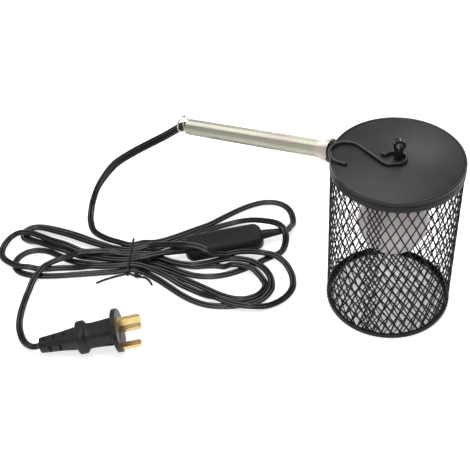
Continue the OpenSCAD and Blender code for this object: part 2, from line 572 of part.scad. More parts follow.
right_2 = [[-246, 53.3, 7], [-236, 49, 5.9], [-226, 42.5, 5.9], [-219, 37.2, 5.7],
  [-212, 32, 4.2], [-204, 26.5, 2],
  [-194, 19.5, 1.8], [-184, 12.7, 1.8], [-176, 7, 3.8], [-169, 2.5, 5.9], [-160, -3.5, 5.9], [-147, -9.5, 6],
  [-134, -12.5, 6], [-121, -10.5, 3], [-109, -5, 1.8], [-99.5, 2.5, 1.8], [-93, 13, 1.8],
  [-91.5, 25, 1.8], [-93, 36.5, 1.8], [-98, 47, 4.4], [-107, 56, 6.2], [-118, 61, 6], [-131, 62, 8.2],
  [-145, 61, 10], [-157, 58.5, 9.9], [-167, 57, 12.8], [-176, 57.5, 17.8], [-186, 61.5, 20.2],
  [-197, 65, 19.9], [-208, 69.5, 17.4], [-220, 74.5, 13.5], [-232, 79, 10.2], [-244, 78.5, 8],
  [-256, 76.8, 7.2]];
left_2 = [[-268, 79.5, 7], [-281, 84.5, 6.2], [-294, 91, 5.9], [-308, 98.5, 5.9], [-323, 107, 5.9],
  [-338, 114, 5.9], [-349, 119, 5.9], [-358, 121.5, 6], [-366, 119, 6], [-369.5, 112.3, 6],
  [-366.5, 105.5, 6], [-358.5, 100.5, 6], [-347, 94.5, 6], [-335, 88, 6],
  [-327, 84.3, 5.9], [-318, 80.6, 4.3],
  [-309, 76.8, 1.8], [-299, 74.3, 1.8], [-287, 71.6, 1.8], [-271, 68.3, 1.9], [-256, 66, 3.2]];
right_3 = [[-242, 64.5, 1.8], [-228, 59.2, 1.8], [-214, 51.2, 1.8], [-203, 44.3, 1.8],
  [-190, 38.5, 1.8], [-175, 36, 1.8], [-160, 37, 1.8], [-145, 41.5, 1.8], [-130, 48.5, 1.8],
  [-118, 55.5, 1.8], [-108, 60.5, 1.8], [-99.5, 65.5, 2.6], [-95, 73, 7.8], [-94.5, 81, 13.2],
  [-97, 89, 14.6], [-103.5, 96.5, 14.2], [-114, 103, 12], [-128, 110, 8], [-143, 113, 4],
  [-160, 110.5, 1.8], [-178, 104, 1.8], [-195, 96.5, 1.8], [-212, 89, 1.8], [-228, 82.3, 1.8],
  [-242, 80.3, 1.8], [-256, 80.4, 3.2]];
left_3 = [[-268, 83.5, 2], [-281, 89.5, 1.8], [-295, 97.5, 1.8], [-310, 107, 1.8], [-326, 115.5, 1.8],
  [-342, 122.5, 1.8], [-355, 126.5, 1.8], [-365.5, 126, 1.8], [-372, 120, 1.8], [-372, 111.5, 1.8],
  [-365, 105.5, 1.8], [-355, 102.5, 1.8], [-343, 98, 1.8], [-330, 92.5, 1.8], [-316, 87.7, 1.8],
  [-302, 83, 1.8], [-287, 79, 1.8], [-271, 75.5, 1.9], [-256, 73.2, 3.2]];
right_4 = [[-244, 72.6, 1.8], [-228, 67.5, 1.8], [-214, 60, 1.8], [-203, 54.8, 1.8], [-190, 51.5, 1.8],
  [-178, 51.5, 1.8], [-167, 50.5, 1.8], [-160, 48.5, 2], [-153, 47.5, 5.4], [-146, 46.2, 6],
  [-139, 43.8, 6], [-132.5, 40.8, 5.9], [-127, 35.5, 4.2],
  [-121.8, 27.5, 1.8], [-119.5, 19.5, 1.8], [-122.5, 11.5, 1.8],
  [-129.5, 5.3, 1.8], [-140, 2, 1.8], [-152, 3.2, 1.8], [-165, 9.3, 1.8], [-177, 17.5, 1.8],
  [-190, 26.8, 1.8], [-203, 35.5, 1.8], [-216, 43.7, 1.8], [-229, 51, 1.8], [-242, 57, 1.8],
  [-256, 58.8, 3.2]];
left_4 = [[-271, 60.5, 1.8], [-285, 62.3, 1.8], [-298, 65, 1.8], [-309, 67.5, 1.8], [-320, 71.8, 1.8],
  [-332, 80, 1.8], [-344, 87.5, 1.8], [-356, 90, 1.8], [-367, 87.5, 1.8], [-375, 79.5, 1.8],
  [-376.5, 69, 1.8], [-371.5, 60, 1.8], [-360, 54, 1.8], [-347, 51.5, 1.8], [-332, 50.5, 1.8],
  [-316, 50.5, 1.8], [-300, 50.7, 1.8], [-285, 51, 1.8], [-270, 51.3, 1.9], [-256, 51.6, 3.2]];
right_5 = [[-246, 49.8, 1.9], [-237, 43.8, 1.8], [-227, 35.3, 1.8], [-216, 24.5, 1.8],
  [-204, 12.8, 1.8], [-192, 3.5, 1.8], [-179, -3, 1.8], [-165, -6, 1.8], [-150, -6.5, 1.8],
  [-136, -4.8, 1.8], [-124, -0.4, 2.4], [-115, 8.5, 5], [-113.3, 18, 5.9], [-114.5, 28, 5.9],
  [-118.5, 37, 5.9], [-124.5, 44.5, 5.9], [-132.5, 50.5, 5.9], [-142, 54.2, 5.9], [-152, 56, 5.9],
  [-163, 55, 5.9], [-176, 52, 5.9], [-190, 50.3, 5.9], [-202, 52.5, 5.9], [-213, 56.5, 5.8],
  [-222, 61.8, 5.65], [-229, 66.8, 5.65], [-235, 70, 5.65], [-241, 71.2, 5.9], [-249, 70.6, 7.1],
  [-256, 69.6, 7.2]];
tail = [[-268, 71.4, 8.2], [-276, 72.8, 10.1], [-286, 73.7, 10.6], [-297, 73.7, 11], [-308, 72.5, 12.1],
  [-318, 71, 9.4], [-328.5, 69.5, 7.4], [-338, 66, 6.4], [-345, 59.5, 7.2], [-350.5, 51, 6.6],
  [-355, 41.5, 5.6], [-358.5, 31, 2.6], [-361, 20, 1.8], [-363, 5, 1.8], [-363.5, -9, 1.8],
  [-362, -21, 1.8], [-358, -33, 2], [-352, -42.5, 4.2]];
leave = along_port(inner_end_s + lead_gap);
relief_x = switch_len/2 + relief_len;
to_switch_line = spline(concat([leave, leave + 7*axis_h - [0, 0, 1]], lead, right_1,
  [on_switch_point([relief_x + 7, 0, 0]), on_switch_point([relief_x, 0, 0])]), 1);
to_plug_line = spline(concat([on_switch_point([-relief_x, 0, 0]), on_switch_point([-relief_x - 7, 0, 0])],
  left_1, right_2, left_2, right_3, left_3, right_4, left_4, right_5, tail,
  [plug_point([-plug_len - 7, 0, 0]), plug_point([-plug_len, 0, 0])]), 1);
module cord_to_switch() color(soft_black) flat_tube(to_switch_line, cord_w, cord_t, 6);
module cord_to_plug() color(soft_black) flat_tube(to_plug_line, cord_w, cord_t, 6);

// Twist tie: a rounded ring round the bundle, open at one side, with two free tails
tie_mid = [-256, 67.8, 5.2];
tie_half = [20.5, 4.5];
tie_bend = 1.4;
tie_lean = 0.11;
function tie_ring(a) = let (y = (tie_half[0] - tie_bend)*sign(cos(a)) + tie_bend*cos(a))
  tie_mid + [(a - 360)/200 + tie_lean*y, y, (tie_half[1] - tie_bend)*sign(sin(a)) + tie_bend*sin(a)];
tie_line = concat([[-234, 29.5, 0.9], [-241.5, 35.5, 0.9], [-249.5, 41.5, 0.9]],
  [for (a = [195:30:525]) tie_ring(a)],
  [[-259, 44, 3.4], [-266, 42, 1.6], [-277, 41, 0.9], [-289.5, 39.5, 0.8]]);
module twist_tie() color(soft_black)
  skin([for (i = [0:len(tie_line) - 1])
    round_ring(tie_line[i], run(tie_line, i), [0.9, 0.1, 0.42], tie_r, 5)]);

// Plug: a moulded grip with a slotted strain relief, a round face, three flat pins and a fuse
carrier = [9, 27.6];
plug_core = [[-plug_len, 7.4, 7.4], [-plug_len + 2, 8.6, 8.6], [-44, 11.2, 10.8], [-40, 12.8, 11.4],
  [-37.5, 16, 13.4], [-32, 16.4, 13.8], [-28, 13.6, 12], [-24, 10.6, 10.4], [-15, 12, 11.4],
  [-9, 14.8, 12.2], [-plug_face_t, 15.2, 12.8]];
plug_sides = 16;
pin_up = pin_row/2;
pin_root = plug_face_t - 0.6;
carrier_depth = 8;
function plug_ring(x, a, b) = [for (k = [0:plug_sides - 1]) let (t = 360*(k + 0.5)/plug_sides,
    f = pow(pow(abs(cos(t)), 3) + pow(abs(sin(t)), 3), -1/3)) [x, a*f*cos(t), b*f*sin(t)]];
module plug_body() color(black) on_plug() difference() {
  union() {
    skin([for (s = plug_core) plug_ring(s[0], s[1], s[2])]);
    translate([-plug_face_t - lap, 0, 0]) rotate([0, 90, 0])
      cylinder(r = plug_face_r, h = plug_face_t + lap);
  }
  for (i = [0:2], s = [-1, 1]) translate([-plug_len + 5.5 + 10*i + (s > 0 ? 0 : 5), s*14.5, 0])
    cube([2.6, 14, 30], center = true);
  rotate([0, 90, 0]) translate([0, 0, -carrier_depth]) linear_extrude(carrier_depth + 1)
    square([carrier[0] + 0.2, carrier[1] + 0.2], center = true);
  for (p = [[pin_up, 0, 9.2, 5.2], [-pin_up, pin_gap/2, 5.2, 7.6], [-pin_up, -pin_gap/2, 5.2, 7.6]])
    translate([-pin_root - fit, p[1] - p[3]/2, p[0] - p[2]/2]) cube([pin_root + 1, p[3], p[2]]);
}
module blade(z, y, h, w, len) on_plug() {
  translate([-pin_root, y - w/2 - 0.5, z - h/2 - 0.5]) cube([pin_root - 1, w + 1, h + 1]);
  translate([-pin_root, y - w/2, z - h/2]) cube([pin_root + len - 1.2, w, h]);
  translate([len - 1.2, y - w/2 + 0.5, z - h/2 + 0.5]) cube([1.2, w - 1, h - 1]);
}
module pin_earth() color(brass) blade(pin_up, 0, 8, 4, earth_len);
module pin_live() color(brass) blade(-pin_up, -pin_gap/2, 4, 6.35, pin_len);
module pin_neutral() color(brass) blade(-pin_up, pin_gap/2, 4, 6.35, pin_len);
module fuse_carrier() color([0.2, 0.2, 0.2]) on_plug() difference() {
  translate([fit - carrier_depth, -carrier[1]/2, -carrier[0]/2])
    cube([carrier_depth - fit, carrier[1], carrier[0]]);
  translate([-7.9, -12.9, -3.35]) cube([6.7, 25.8, 6.7]);
}
module plug_fuse() color(steel) on_plug() translate([-4.6, 0, 0]) rotate([90, 0, 0])
  cylinder(r = 3.15, h = 25.4, center = true, $fn = 48);

// Least gap of a wound tube to itself: centres too far along the tube to be neighbours
function flat_gap(a, b) = max(norm([a[0] - b[0], a[1] - b[1]]) - cord_w, abs(a[2] - b[2]) - cord_t);
function self_gap(q, skip) = min([for (i = [0:len(q) - 1], j = [i + skip:1:len(q) - 1])
  flat_gap(q[i], q[j])]);
function near_gap(q, skip, reach) = min([for (i = [0:len(q) - 1], j = [i + skip:1:min(i + reach, len(q) - 1)])
  norm(q[i] - q[j])]) - 2*guard_wire_r;
echo(cord_gap = self_gap(to_plug_line, 4), spring_gap = near_gap(guard_line, 5, 18), turns = guard_turns);

cage_mesh();
cage_top_rim();
cage_bottom_rim();
cage_floor_mesh();
lid();
hanging_eye();
lock_washer();
eye_nut();
socket_bracket();
socket_body();
socket_screws();
socket_shell();
socket_contact();
terminal_screws();
inner_leads();
gland_bracket();
cord_gland();
gland_nut();
spring_guard();
cord_in_guard();
bulb_globe();
bulb_cap();
bulb_contact();
filament_mount();
s_hook();
cord_to_switch();
cord_to_plug();
twist_tie();
switch_upper_shell();
switch_lower_shell();
switch_reliefs();
switch_rocker();
switch_contacts();
switch_screws();
plug_body();
fuse_carrier();
plug_fuse();
pin_earth();
pin_live();
pin_neutral();
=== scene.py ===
import json
import math

import bpy
import numpy as np
from mathutils import Matrix, Vector


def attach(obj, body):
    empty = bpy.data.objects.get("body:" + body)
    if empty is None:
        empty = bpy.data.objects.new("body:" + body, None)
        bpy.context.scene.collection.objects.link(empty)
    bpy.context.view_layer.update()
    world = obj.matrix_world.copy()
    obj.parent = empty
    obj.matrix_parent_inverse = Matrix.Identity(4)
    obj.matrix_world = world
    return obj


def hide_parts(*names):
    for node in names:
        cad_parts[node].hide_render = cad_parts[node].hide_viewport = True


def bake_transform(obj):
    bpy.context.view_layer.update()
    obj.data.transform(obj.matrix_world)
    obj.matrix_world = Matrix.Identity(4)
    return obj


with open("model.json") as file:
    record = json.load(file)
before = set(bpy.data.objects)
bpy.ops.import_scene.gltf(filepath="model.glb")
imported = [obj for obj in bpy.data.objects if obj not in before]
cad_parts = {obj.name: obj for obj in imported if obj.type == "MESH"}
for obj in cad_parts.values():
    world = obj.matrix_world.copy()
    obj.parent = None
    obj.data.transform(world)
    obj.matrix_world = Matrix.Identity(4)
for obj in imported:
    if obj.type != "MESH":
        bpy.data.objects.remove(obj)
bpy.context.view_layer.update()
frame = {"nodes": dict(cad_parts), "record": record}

# Lengths are in millimetres where no comment says otherwise, and Blender's unit is the metre
MM = 0.001
FLOOR_GAP = 0.02

# Sizes of the cage and the lid
CAGE_R = 60
CAGE_H = 171.6
LID_T = 1
SKIRT_H = 5
MESH_R = 59.3
MESH_LOW = 3.6
MESH_HIGH = 165.6
MESH_COLUMNS = 42
MESH_HALF_ROWS = 18

# The cord leaves through a port whose axis points out and a little down
PORT_AT = np.array([-52.5, 38.3, 153])
PORT_DIR = math.radians(141)
PORT_DROOP = math.radians(14.5)
AXIS_H = np.array([math.cos(PORT_DIR)*math.cos(PORT_DROOP), math.sin(PORT_DIR)*math.cos(PORT_DROOP),
                   -math.sin(PORT_DROOP)])
AXIS_U = np.array([-math.sin(PORT_DIR), math.cos(PORT_DIR), 0])
AXIS_V = np.cross(AXIS_H, AXIS_U)

# Spring guard, wound closer than its solid. The wire's end loop swings out over a share of a turn,
# stands off the body, rises, grows wider and leans back
SPRING_R = 8.25
SPRING_WIRE_R = 0.74
SPRING_PITCH = 1.56
SPRING_STEPS = 22
SPRING_WIRE_SIDES = 8
MOUTH_R = 11.6
MOUTH_LEN = 17
MOUTH_TURNS = 11
BODY_END = 178.3
LOOP_TURNS = 1.5
LOOP_SWING = 0.42
LOOP_REACH = 8
LOOP_RISE = 2.6
LOOP_GROWS = 0.8
LOOP_LEAN = 1.8

# Flat twin cord. Inside the spring it runs from its start to a little past the spring's body, and
# fills most of the step to the free cord. The free cord's ends are straight, and where it hangs it
# is rolled over and its strands part
CORD_W = 7
CORD_T = 3.6
CORD_WEB = 1.1
CORD_START = -24.2
CORD_OUT = 3
CORD_STEP = 0.6
CORD_FILL = 0.5
CORD_STRAIGHT = 7
CORD_DROOP = np.array([0, 0, 1])
CORD_SPLINE_STEPS = 4
GUARD_CORD_RINGS = 12
TWIN_POINTS = 14
CORD_ROLL = math.radians(60)
LEAD_SPREAD = 1.5
ROLL_FROM = 4
ROLL_TO = 50

# Switch and plug, each in a frame of its own
SWITCH_AT = np.array([-159, 77.8, 9.5])
SWITCH_DIR = math.radians(10)
SWITCH_LEN = 82
SWITCH_W = 30
SWITCH_CORNER = 9
RELIEF_LEN = 20
PLUG_FACE_R = 21
PLUG_FACE_T = 5
PLUG_TILT = math.radians(9)
PLUG_DIR = math.radians(2)
PLUG_LEN = 78
PLUG_AT = np.array([-260.5, -46.5,
                    PLUG_FACE_R*math.cos(PLUG_TILT) + PLUG_FACE_T*math.sin(PLUG_TILT) + FLOOR_GAP])

# Camera: the photograph's view, fitted to the cage's rims, the plug and the switch. Its place is in
# metres and its angles are in radians
CAMERA_AT = (-0.1469, -0.6969, 0.7469)
CAMERA_PITCH = 0.755
CAMERA_ROLL = -0.0617
CAMERA_LENS = 78.8
CAMERA_SENSOR = 36


def make_camera():
    forward = Vector((0, math.cos(CAMERA_PITCH), -math.sin(CAMERA_PITCH)))
    level_up = Vector((0, math.sin(CAMERA_PITCH), math.cos(CAMERA_PITCH)))
    level_right = Vector((1, 0, 0))
    right = math.cos(CAMERA_ROLL)*level_right + math.sin(CAMERA_ROLL)*level_up
    up = -math.sin(CAMERA_ROLL)*level_right + math.cos(CAMERA_ROLL)*level_up
    data = bpy.data.cameras.new("camera")
    data.lens = CAMERA_LENS
    data.sensor_width = CAMERA_SENSOR
    camera = bpy.data.objects.new("camera", data)
    bpy.context.scene.collection.objects.link(camera)
    facing = Matrix((right, up, -forward)).transposed().to_4x4()
    camera.matrix_world = Matrix.Translation(CAMERA_AT) @ facing
    bpy.context.scene.camera = camera


# Materials, whose grain, drift and depth are in metres
COARSE_DETAIL = 4
FINE_DETAIL = 3


def node(tree, kind, **sockets):
    """A new node with these values on its sockets"""
    made = tree.nodes.new(kind)
    for name, value in sockets.items():
        made.inputs[name].default_value = value
    return made


def math_node(tree, operation, first, second):
    """A sum, product or the like of two sockets, or of a socket and a number"""
    made = tree.nodes.new("ShaderNodeMath")
    made.operation = operation
    tree.links.new(first, made.inputs[0])
    if isinstance(second, bpy.types.NodeSocket):
        tree.links.new(second, made.inputs[1])
    else:
        made.inputs[1].default_value = second
    return made.outputs["Value"]


def noise(tree, size, detail):
    """Noise with features of about that size"""
    place = node(tree, "ShaderNodeTexCoord")
    made = node(tree, "ShaderNodeTexNoise", Scale=1/size, Detail=detail)
    tree.links.new(place.outputs["Object"], made.inputs["Vector"])
    return made.outputs["Fac"]


def spread(tree, value, low, high, start=0.3, end=0.7):
    """The value's stretch from start to end, spread from low to high"""
    made = node(tree, "ShaderNodeMapRange")
    made.inputs["From Min"].default_value = start
    made.inputs["From Max"].default_value = end
    made.inputs["To Min"].default_value = low
    made.inputs["To Max"].default_value = high
    tree.links.new(value, made.inputs["Value"])
    return made.outputs["Result"]


def two_tones(tree, value, first, second):
    """A mix of two colours by the value"""
    made = node(tree, "ShaderNodeMix")
    made.data_type = "RGBA"
    for socket in made.inputs:
        if socket.type == "RGBA" and socket.name in "AB":
            socket.default_value = (*(first if socket.name == "A" else second), 1)
    tree.links.new(value, made.inputs["Factor"])
    return [s for s in made.outputs if s.type == "RGBA"][0]


def finish_of(name, colour, other, roughness, drift=0.02, grain=0.0008, depth=0.00004, rough_by=0.06,
              **sockets):
    """Colour drifts between two tones, the roughness drifts with it, and a fine grain lifts the surface"""
    material = bpy.data.materials.new(name)
    material.use_nodes = True
    tree = material.node_tree
    shader = tree.nodes["Principled BSDF"]
    for key, value in sockets.items():
        shader.inputs[key.replace("_", " ")].default_value = value
    wide = noise(tree, drift, COARSE_DETAIL)
    tree.links.new(two_tones(tree, spread(tree, wide, 0, 1), colour, other), shader.inputs["Base Color"])
    fine = noise(tree, grain, FINE_DETAIL)
    rough = spread(tree, wide, roughness - rough_by, roughness + rough_by)
    tree.links.new(rough, shader.inputs["Roughness"])
    bump = node(tree, "ShaderNodeBump", Strength=1.0, Distance=depth)
    tree.links.new(fine, bump.inputs["Height"])
    tree.links.new(bump.outputs["Normal"], shader.inputs["Normal"])
    return material


MATERIALS = {
    "coated_steel": finish_of("coated_steel", (0.006, 0.006, 0.0063), (0.011, 0.011, 0.0115), 0.38,
                              grain=0.0008, depth=0.00005, Specular_IOR_Level=0.2),
    "lid_coat": finish_of("lid_coat", (0.017, 0.017, 0.0175), (0.026, 0.026, 0.0268), 0.42,
                          drift=0.025, grain=0.0005, depth=0.00002, Specular_IOR_Level=0.3),
    "plated_steel": finish_of("plated_steel", (0.62, 0.62, 0.6), (0.5, 0.5, 0.49), 0.32, Metallic=1.0),
    "zinc_wire": finish_of("zinc_wire", (0.55, 0.56, 0.46), (0.57, 0.505, 0.455), 0.34, drift=0.03,
                           grain=0.0012, depth=0.000004, Metallic=1.0),
    "brass": finish_of("brass", (0.74, 0.56, 0.25), (0.66, 0.5, 0.24), 0.28, drift=0.008,
                       grain=0.0006, depth=0.000005, Metallic=1.0),
    "porcelain": finish_of("porcelain", (0.84, 0.82, 0.77), (0.8, 0.78, 0.73), 0.15, rough_by=0.04,
                           grain=0.003, depth=0.00003),
    "frosted_glass": finish_of("frosted_glass", (0.86, 0.765, 0.765), (0.81, 0.735, 0.735), 0.42,
                               drift=0.03, grain=0.0004, depth=0.00001),
    "cap_metal": finish_of("cap_metal", (0.7, 0.7, 0.68), (0.6, 0.6, 0.58), 0.35, Metallic=1.0),
    "black_plastic": finish_of("black_plastic", (0.013, 0.013, 0.0134), (0.02, 0.02, 0.0205), 0.4,
                               grain=0.0005, depth=0.00003, Specular_IOR_Level=0.22),
    "black_cord": finish_of("black_cord", (0.004, 0.004, 0.0042), (0.006, 0.006, 0.0063), 0.22,
                            grain=0.0015, depth=0.000008, Specular_IOR_Level=0.5),
    "rocker_plastic": finish_of("rocker_plastic", (0.03, 0.03, 0.031), (0.04, 0.04, 0.041), 0.25),
    "lead_jacket": finish_of("lead_jacket", (0.2, 0.08, 0.05), (0.16, 0.06, 0.04), 0.45),
    "fuse_body": finish_of("fuse_body", (0.75, 0.72, 0.66), (0.7, 0.67, 0.6), 0.3),
}

# The rims fold over the mesh's cut ends, which show through as bumps, moulded plastic has a coarse
# grain, and the lid's rolled edge, the hook and the eye have a glossier coat than the rest
FOLDED_RIM = finish_of("folded_rim", (0.005, 0.005, 0.0053), (0.009, 0.009, 0.0094), 0.42, grain=0.0022,
                       depth=0.0006, Specular_IOR_Level=0.2)
MOULDED = finish_of("moulded", (0.007, 0.007, 0.0073), (0.013, 0.013, 0.0133), 0.5, drift=0.006,
                    grain=0.0016, depth=0.0004, Specular_IOR_Level=0.22)
GLOSSY_COAT = finish_of("glossy_coat", (0.012, 0.012, 0.0125), (0.018, 0.018, 0.0185), 0.24,
                        drift=0.02, grain=0.0008, depth=0.00001, Specular_IOR_Level=0.45)
FINISH_OF_NODE = {"cage_top_rim": FOLDED_RIM, "hanging_eye": GLOSSY_COAT}


def dress_cad_nodes():
    """Materials for the solids, by the slot that each has in the record"""
    slots = {row["node"]: row["material_slot"] for row in frame["record"]["subparts"]}
    for name, obj in frame["nodes"].items():
        material = FINISH_OF_NODE.get(name, MATERIALS[slots[name]])
        if not obj.material_slots:
            obj.data.materials.append(material)
        for place in obj.material_slots:
            place.material = material


# Shapes
MESH_SMOOTH = math.radians(40)
CUT_SMOOTH = math.radians(30)


def spline(points, steps):
    """A smooth line through the points"""
    p = [np.array(q, float) for q in points]
    line = []
    for i in range(len(p) - 1):
        a, b, c, d = p[max(i - 1, 0)], p[i], p[i + 1], p[min(i + 2, len(p) - 1)]
        for k in range(steps):
            t = k/steps
            line.append(0.5*(2*b + (c - a)*t + (2*a - 5*b + 4*c - d)*t*t + (3*b - a - 3*c + d)*t**3))
    line.append(p[-1])
    return np.array(line)


def runs(line):
    """The direction of a line at each of its points"""
    ahead = np.gradient(np.asarray(line, float), axis=0)
    return ahead/np.linalg.norm(ahead, axis=1)[:, None]


def level_sides(line):
    """Sides that stay level, so that a flat cord lies flat"""
    sides = np.cross([0, 0, 1], runs(line))
    return sides/np.linalg.norm(sides, axis=1)[:, None]


def mesh_of(name, points, faces):
    mesh = bpy.data.meshes.new(name)
    mesh.from_pydata([tuple(p) for p in np.asarray(points, float)*MM], [], faces)
    mesh.update()
    mesh.shade_smooth()
    mesh.set_sharp_from_angle(angle=MESH_SMOOTH)
    return mesh


def piece(name, points, faces, slot, body=None, stands_for=()):
    """A new piece of the object, from points in millimetres"""
    obj = bpy.data.objects.new(name, mesh_of(name, points, faces))
    bpy.context.scene.collection.objects.link(obj)
    obj.data.materials.append(MATERIALS[slot])
    if body:
        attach(obj, body)
    if stands_for:
        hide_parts(*stands_for)
    return obj


def skin(rings, closed_ends=True):
    """Points and faces of a surface through rings with the same number of points"""
    count = len(rings[0])
    points = [p for ring in rings for p in ring]
    faces = []
    for i in range(len(rings) - 1):
        for k in range(count):
            a, b = i*count + k, i*count + (k + 1) % count
            faces.append((a, b, b + count, a + count))
    if closed_ends:
        faces.append(tuple(reversed(range(count))))
        faces.append(tuple(range((len(rings) - 1)*count, len(rings)*count)))
    return points, faces


def joined(shapes):
    """Points and faces of several shapes in one mesh"""
    points = []
    faces = []
    for more, sides in shapes:
        faces += [tuple(i + len(points) for i in face) for face in sides]
        points += more
    return points, faces


def sweep(line, sides, outlines):
    """Rings along a line, across its sides: each point of the line has an outline of its own"""
    line = np.asarray(line, float)
    ahead = runs(line)
    sides = sides - ahead*np.sum(sides*ahead, axis=1)[:, None]
    sides = sides/np.linalg.norm(sides, axis=1)[:, None]
    ups = np.cross(ahead, sides)
    return [[c + x*u + y*v for x, y in outline] for c, u, v, outline in zip(line, sides, ups, outlines)]


def round_outline(radius, count):
    return [(radius*math.cos(2*math.pi*k/count), radius*math.sin(2*math.pi*k/count)) for k in range(count)]


def twin_outline(width):
    """Two round strands of the cord side by side, joined by a thin web"""
    r = CORD_T/2
    middle = width/2 - r
    open_angle = math.pi - math.asin(CORD_WEB/2/r)
    turn = np.linspace(-open_angle, open_angle, TWIN_POINTS)
    right = [(middle + r*math.cos(a), r*math.sin(a)) for a in turn]
    return right + [(-x, -y) for x, y in right]


# Routes of the free cord, on its centre line, as the solid's: one list is one stretch or one loop
LEAD = [(-213.5, 159, 89.5), (-229.5, 160, 80.3), (-250.5, 159.5, 69), (-271.5, 161, 53),
        (-290, 162, 28), (-299, 156, 11), (-302, 143, 3.5), (-301.5, 130, 1.8), (-297, 114.5, 1.8),
        (-284.5, 101.5, 3.2), (-270, 90.7, 6.3), (-256, 84, 7.2)]
RIGHT_1 = [(-243, 87, 6.7), (-229, 91.5, 2), (-211, 97.5, 1.8), (-190, 106.5, 1.8), (-172, 114.5, 1.8),
           (-154, 126, 1.8), (-134, 137.5, 1.8), (-116, 143.5, 1.8), (-101, 142.5, 1.8), (-91, 136, 1.8),
           (-85.5, 126, 1.8), (-84, 114.5, 2), (-85, 104, 4), (-88.5, 96.5, 7)]
LEFT_1 = [(-235, 64, 9.6), (-244, 62.8, 9), (-256, 62.4, 7.2), (-269, 63.6, 6.8), (-283, 67.5, 6.1),
          (-297, 73, 6.2), (-311, 80.5, 8.3), (-325, 88, 10.4), (-339, 95, 10.2), (-352, 102.5, 10.4),
          (-364, 109, 10.4), (-375.5, 110.5, 9.8), (-385, 107.5, 6.4), (-391.5, 100, 3), (-393, 90, 1.8),
          (-389.5, 79, 4.2), (-381, 69.5, 5.9), (-371, 64, 5.9), (-361, 61.8, 5.9), (-353, 61.3, 3.4),
          (-344, 61.3, 1.8), (-332, 61.5, 1.8), (-320, 61, 1.8), (-309, 59.5, 3), (-297, 57.5, 5.7),
          (-284, 56, 5.9), (-270, 55.2, 6.6), (-256, 55.2, 7.2)]
RIGHT_2 = [(-246, 53.3, 7), (-236, 49, 5.9), (-226, 42.5, 5.9), (-219, 37.2, 5.7), (-212, 32, 4.2),
           (-204, 26.5, 2), (-194, 19.5, 1.8), (-184, 12.7, 1.8), (-176, 7, 3.8), (-169, 2.5, 5.9),
           (-160, -3.5, 5.9), (-147, -9.5, 6), (-134, -12.5, 6), (-121, -10.5, 3), (-109, -5, 1.8),
           (-99.5, 2.5, 1.8), (-93, 13, 1.8), (-91.5, 25, 1.8), (-93, 36.5, 1.8), (-98, 47, 4.4),
           (-107, 56, 6.2), (-118, 61, 6), (-131, 62, 8.2), (-145, 61, 10), (-157, 58.5, 9.9),
           (-167, 57, 12.8), (-176, 57.5, 17.8), (-186, 61.5, 20.2), (-197, 65, 19.9), (-208, 69.5, 17.4),
           (-220, 74.5, 13.5), (-232, 79, 10.2), (-244, 78.5, 8), (-256, 76.8, 7.2)]
LEFT_2 = [(-268, 79.5, 7), (-281, 84.5, 6.2), (-294, 91, 5.9), (-308, 98.5, 5.9), (-323, 107, 5.9),
          (-338, 114, 5.9), (-349, 119, 5.9), (-358, 121.5, 6), (-366, 119, 6), (-369.5, 112.3, 6),
          (-366.5, 105.5, 6), (-358.5, 100.5, 6), (-347, 94.5, 6), (-335, 88, 6), (-327, 84.3, 5.9),
          (-318, 80.6, 4.3), (-309, 76.8, 1.8), (-299, 74.3, 1.8), (-287, 71.6, 1.8), (-271, 68.3, 1.9),
          (-256, 66, 3.2)]
RIGHT_3 = [(-242, 64.5, 1.8), (-228, 59.2, 1.8), (-214, 51.2, 1.8), (-203, 44.3, 1.8), (-190, 38.5, 1.8),
           (-175, 36, 1.8), (-160, 37, 1.8), (-145, 41.5, 1.8), (-130, 48.5, 1.8), (-118, 55.5, 1.8),
           (-108, 60.5, 1.8), (-99.5, 65.5, 2.6), (-95, 73, 7.8), (-94.5, 81, 13.2), (-97, 89, 14.6),
           (-103.5, 96.5, 14.2), (-114, 103, 12), (-128, 110, 8), (-143, 113, 4), (-160, 110.5, 1.8),
           (-178, 104, 1.8), (-195, 96.5, 1.8), (-212, 89, 1.8), (-228, 82.3, 1.8), (-242, 80.3, 1.8),
           (-256, 80.4, 3.2)]
LEFT_3 = [(-268, 83.5, 2), (-281, 89.5, 1.8), (-295, 97.5, 1.8), (-310, 107, 1.8), (-326, 115.5, 1.8),
          (-342, 122.5, 1.8), (-355, 126.5, 1.8), (-365.5, 126, 1.8), (-372, 120, 1.8), (-372, 111.5, 1.8),
          (-365, 105.5, 1.8), (-355, 102.5, 1.8), (-343, 98, 1.8), (-330, 92.5, 1.8), (-316, 87.7, 1.8),
          (-302, 83, 1.8), (-287, 79, 1.8), (-271, 75.5, 1.9), (-256, 73.2, 3.2)]
RIGHT_4 = [(-244, 72.6, 1.8), (-228, 67.5, 1.8), (-214, 60, 1.8), (-203, 54.8, 1.8), (-190, 51.5, 1.8),
           (-178, 51.5, 1.8), (-167, 50.5, 1.8), (-160, 48.5, 2), (-153, 47.5, 5.4), (-146, 46.2, 6),
           (-139, 43.8, 6), (-132.5, 40.8, 5.9), (-127, 35.5, 4.2), (-121.8, 27.5, 1.8),
           (-119.5, 19.5, 1.8), (-122.5, 11.5, 1.8), (-129.5, 5.3, 1.8), (-140, 2, 1.8), (-152, 3.2, 1.8),
           (-165, 9.3, 1.8), (-177, 17.5, 1.8), (-190, 26.8, 1.8), (-203, 35.5, 1.8), (-216, 43.7, 1.8),
           (-229, 51, 1.8), (-242, 57, 1.8), (-256, 58.8, 3.2)]
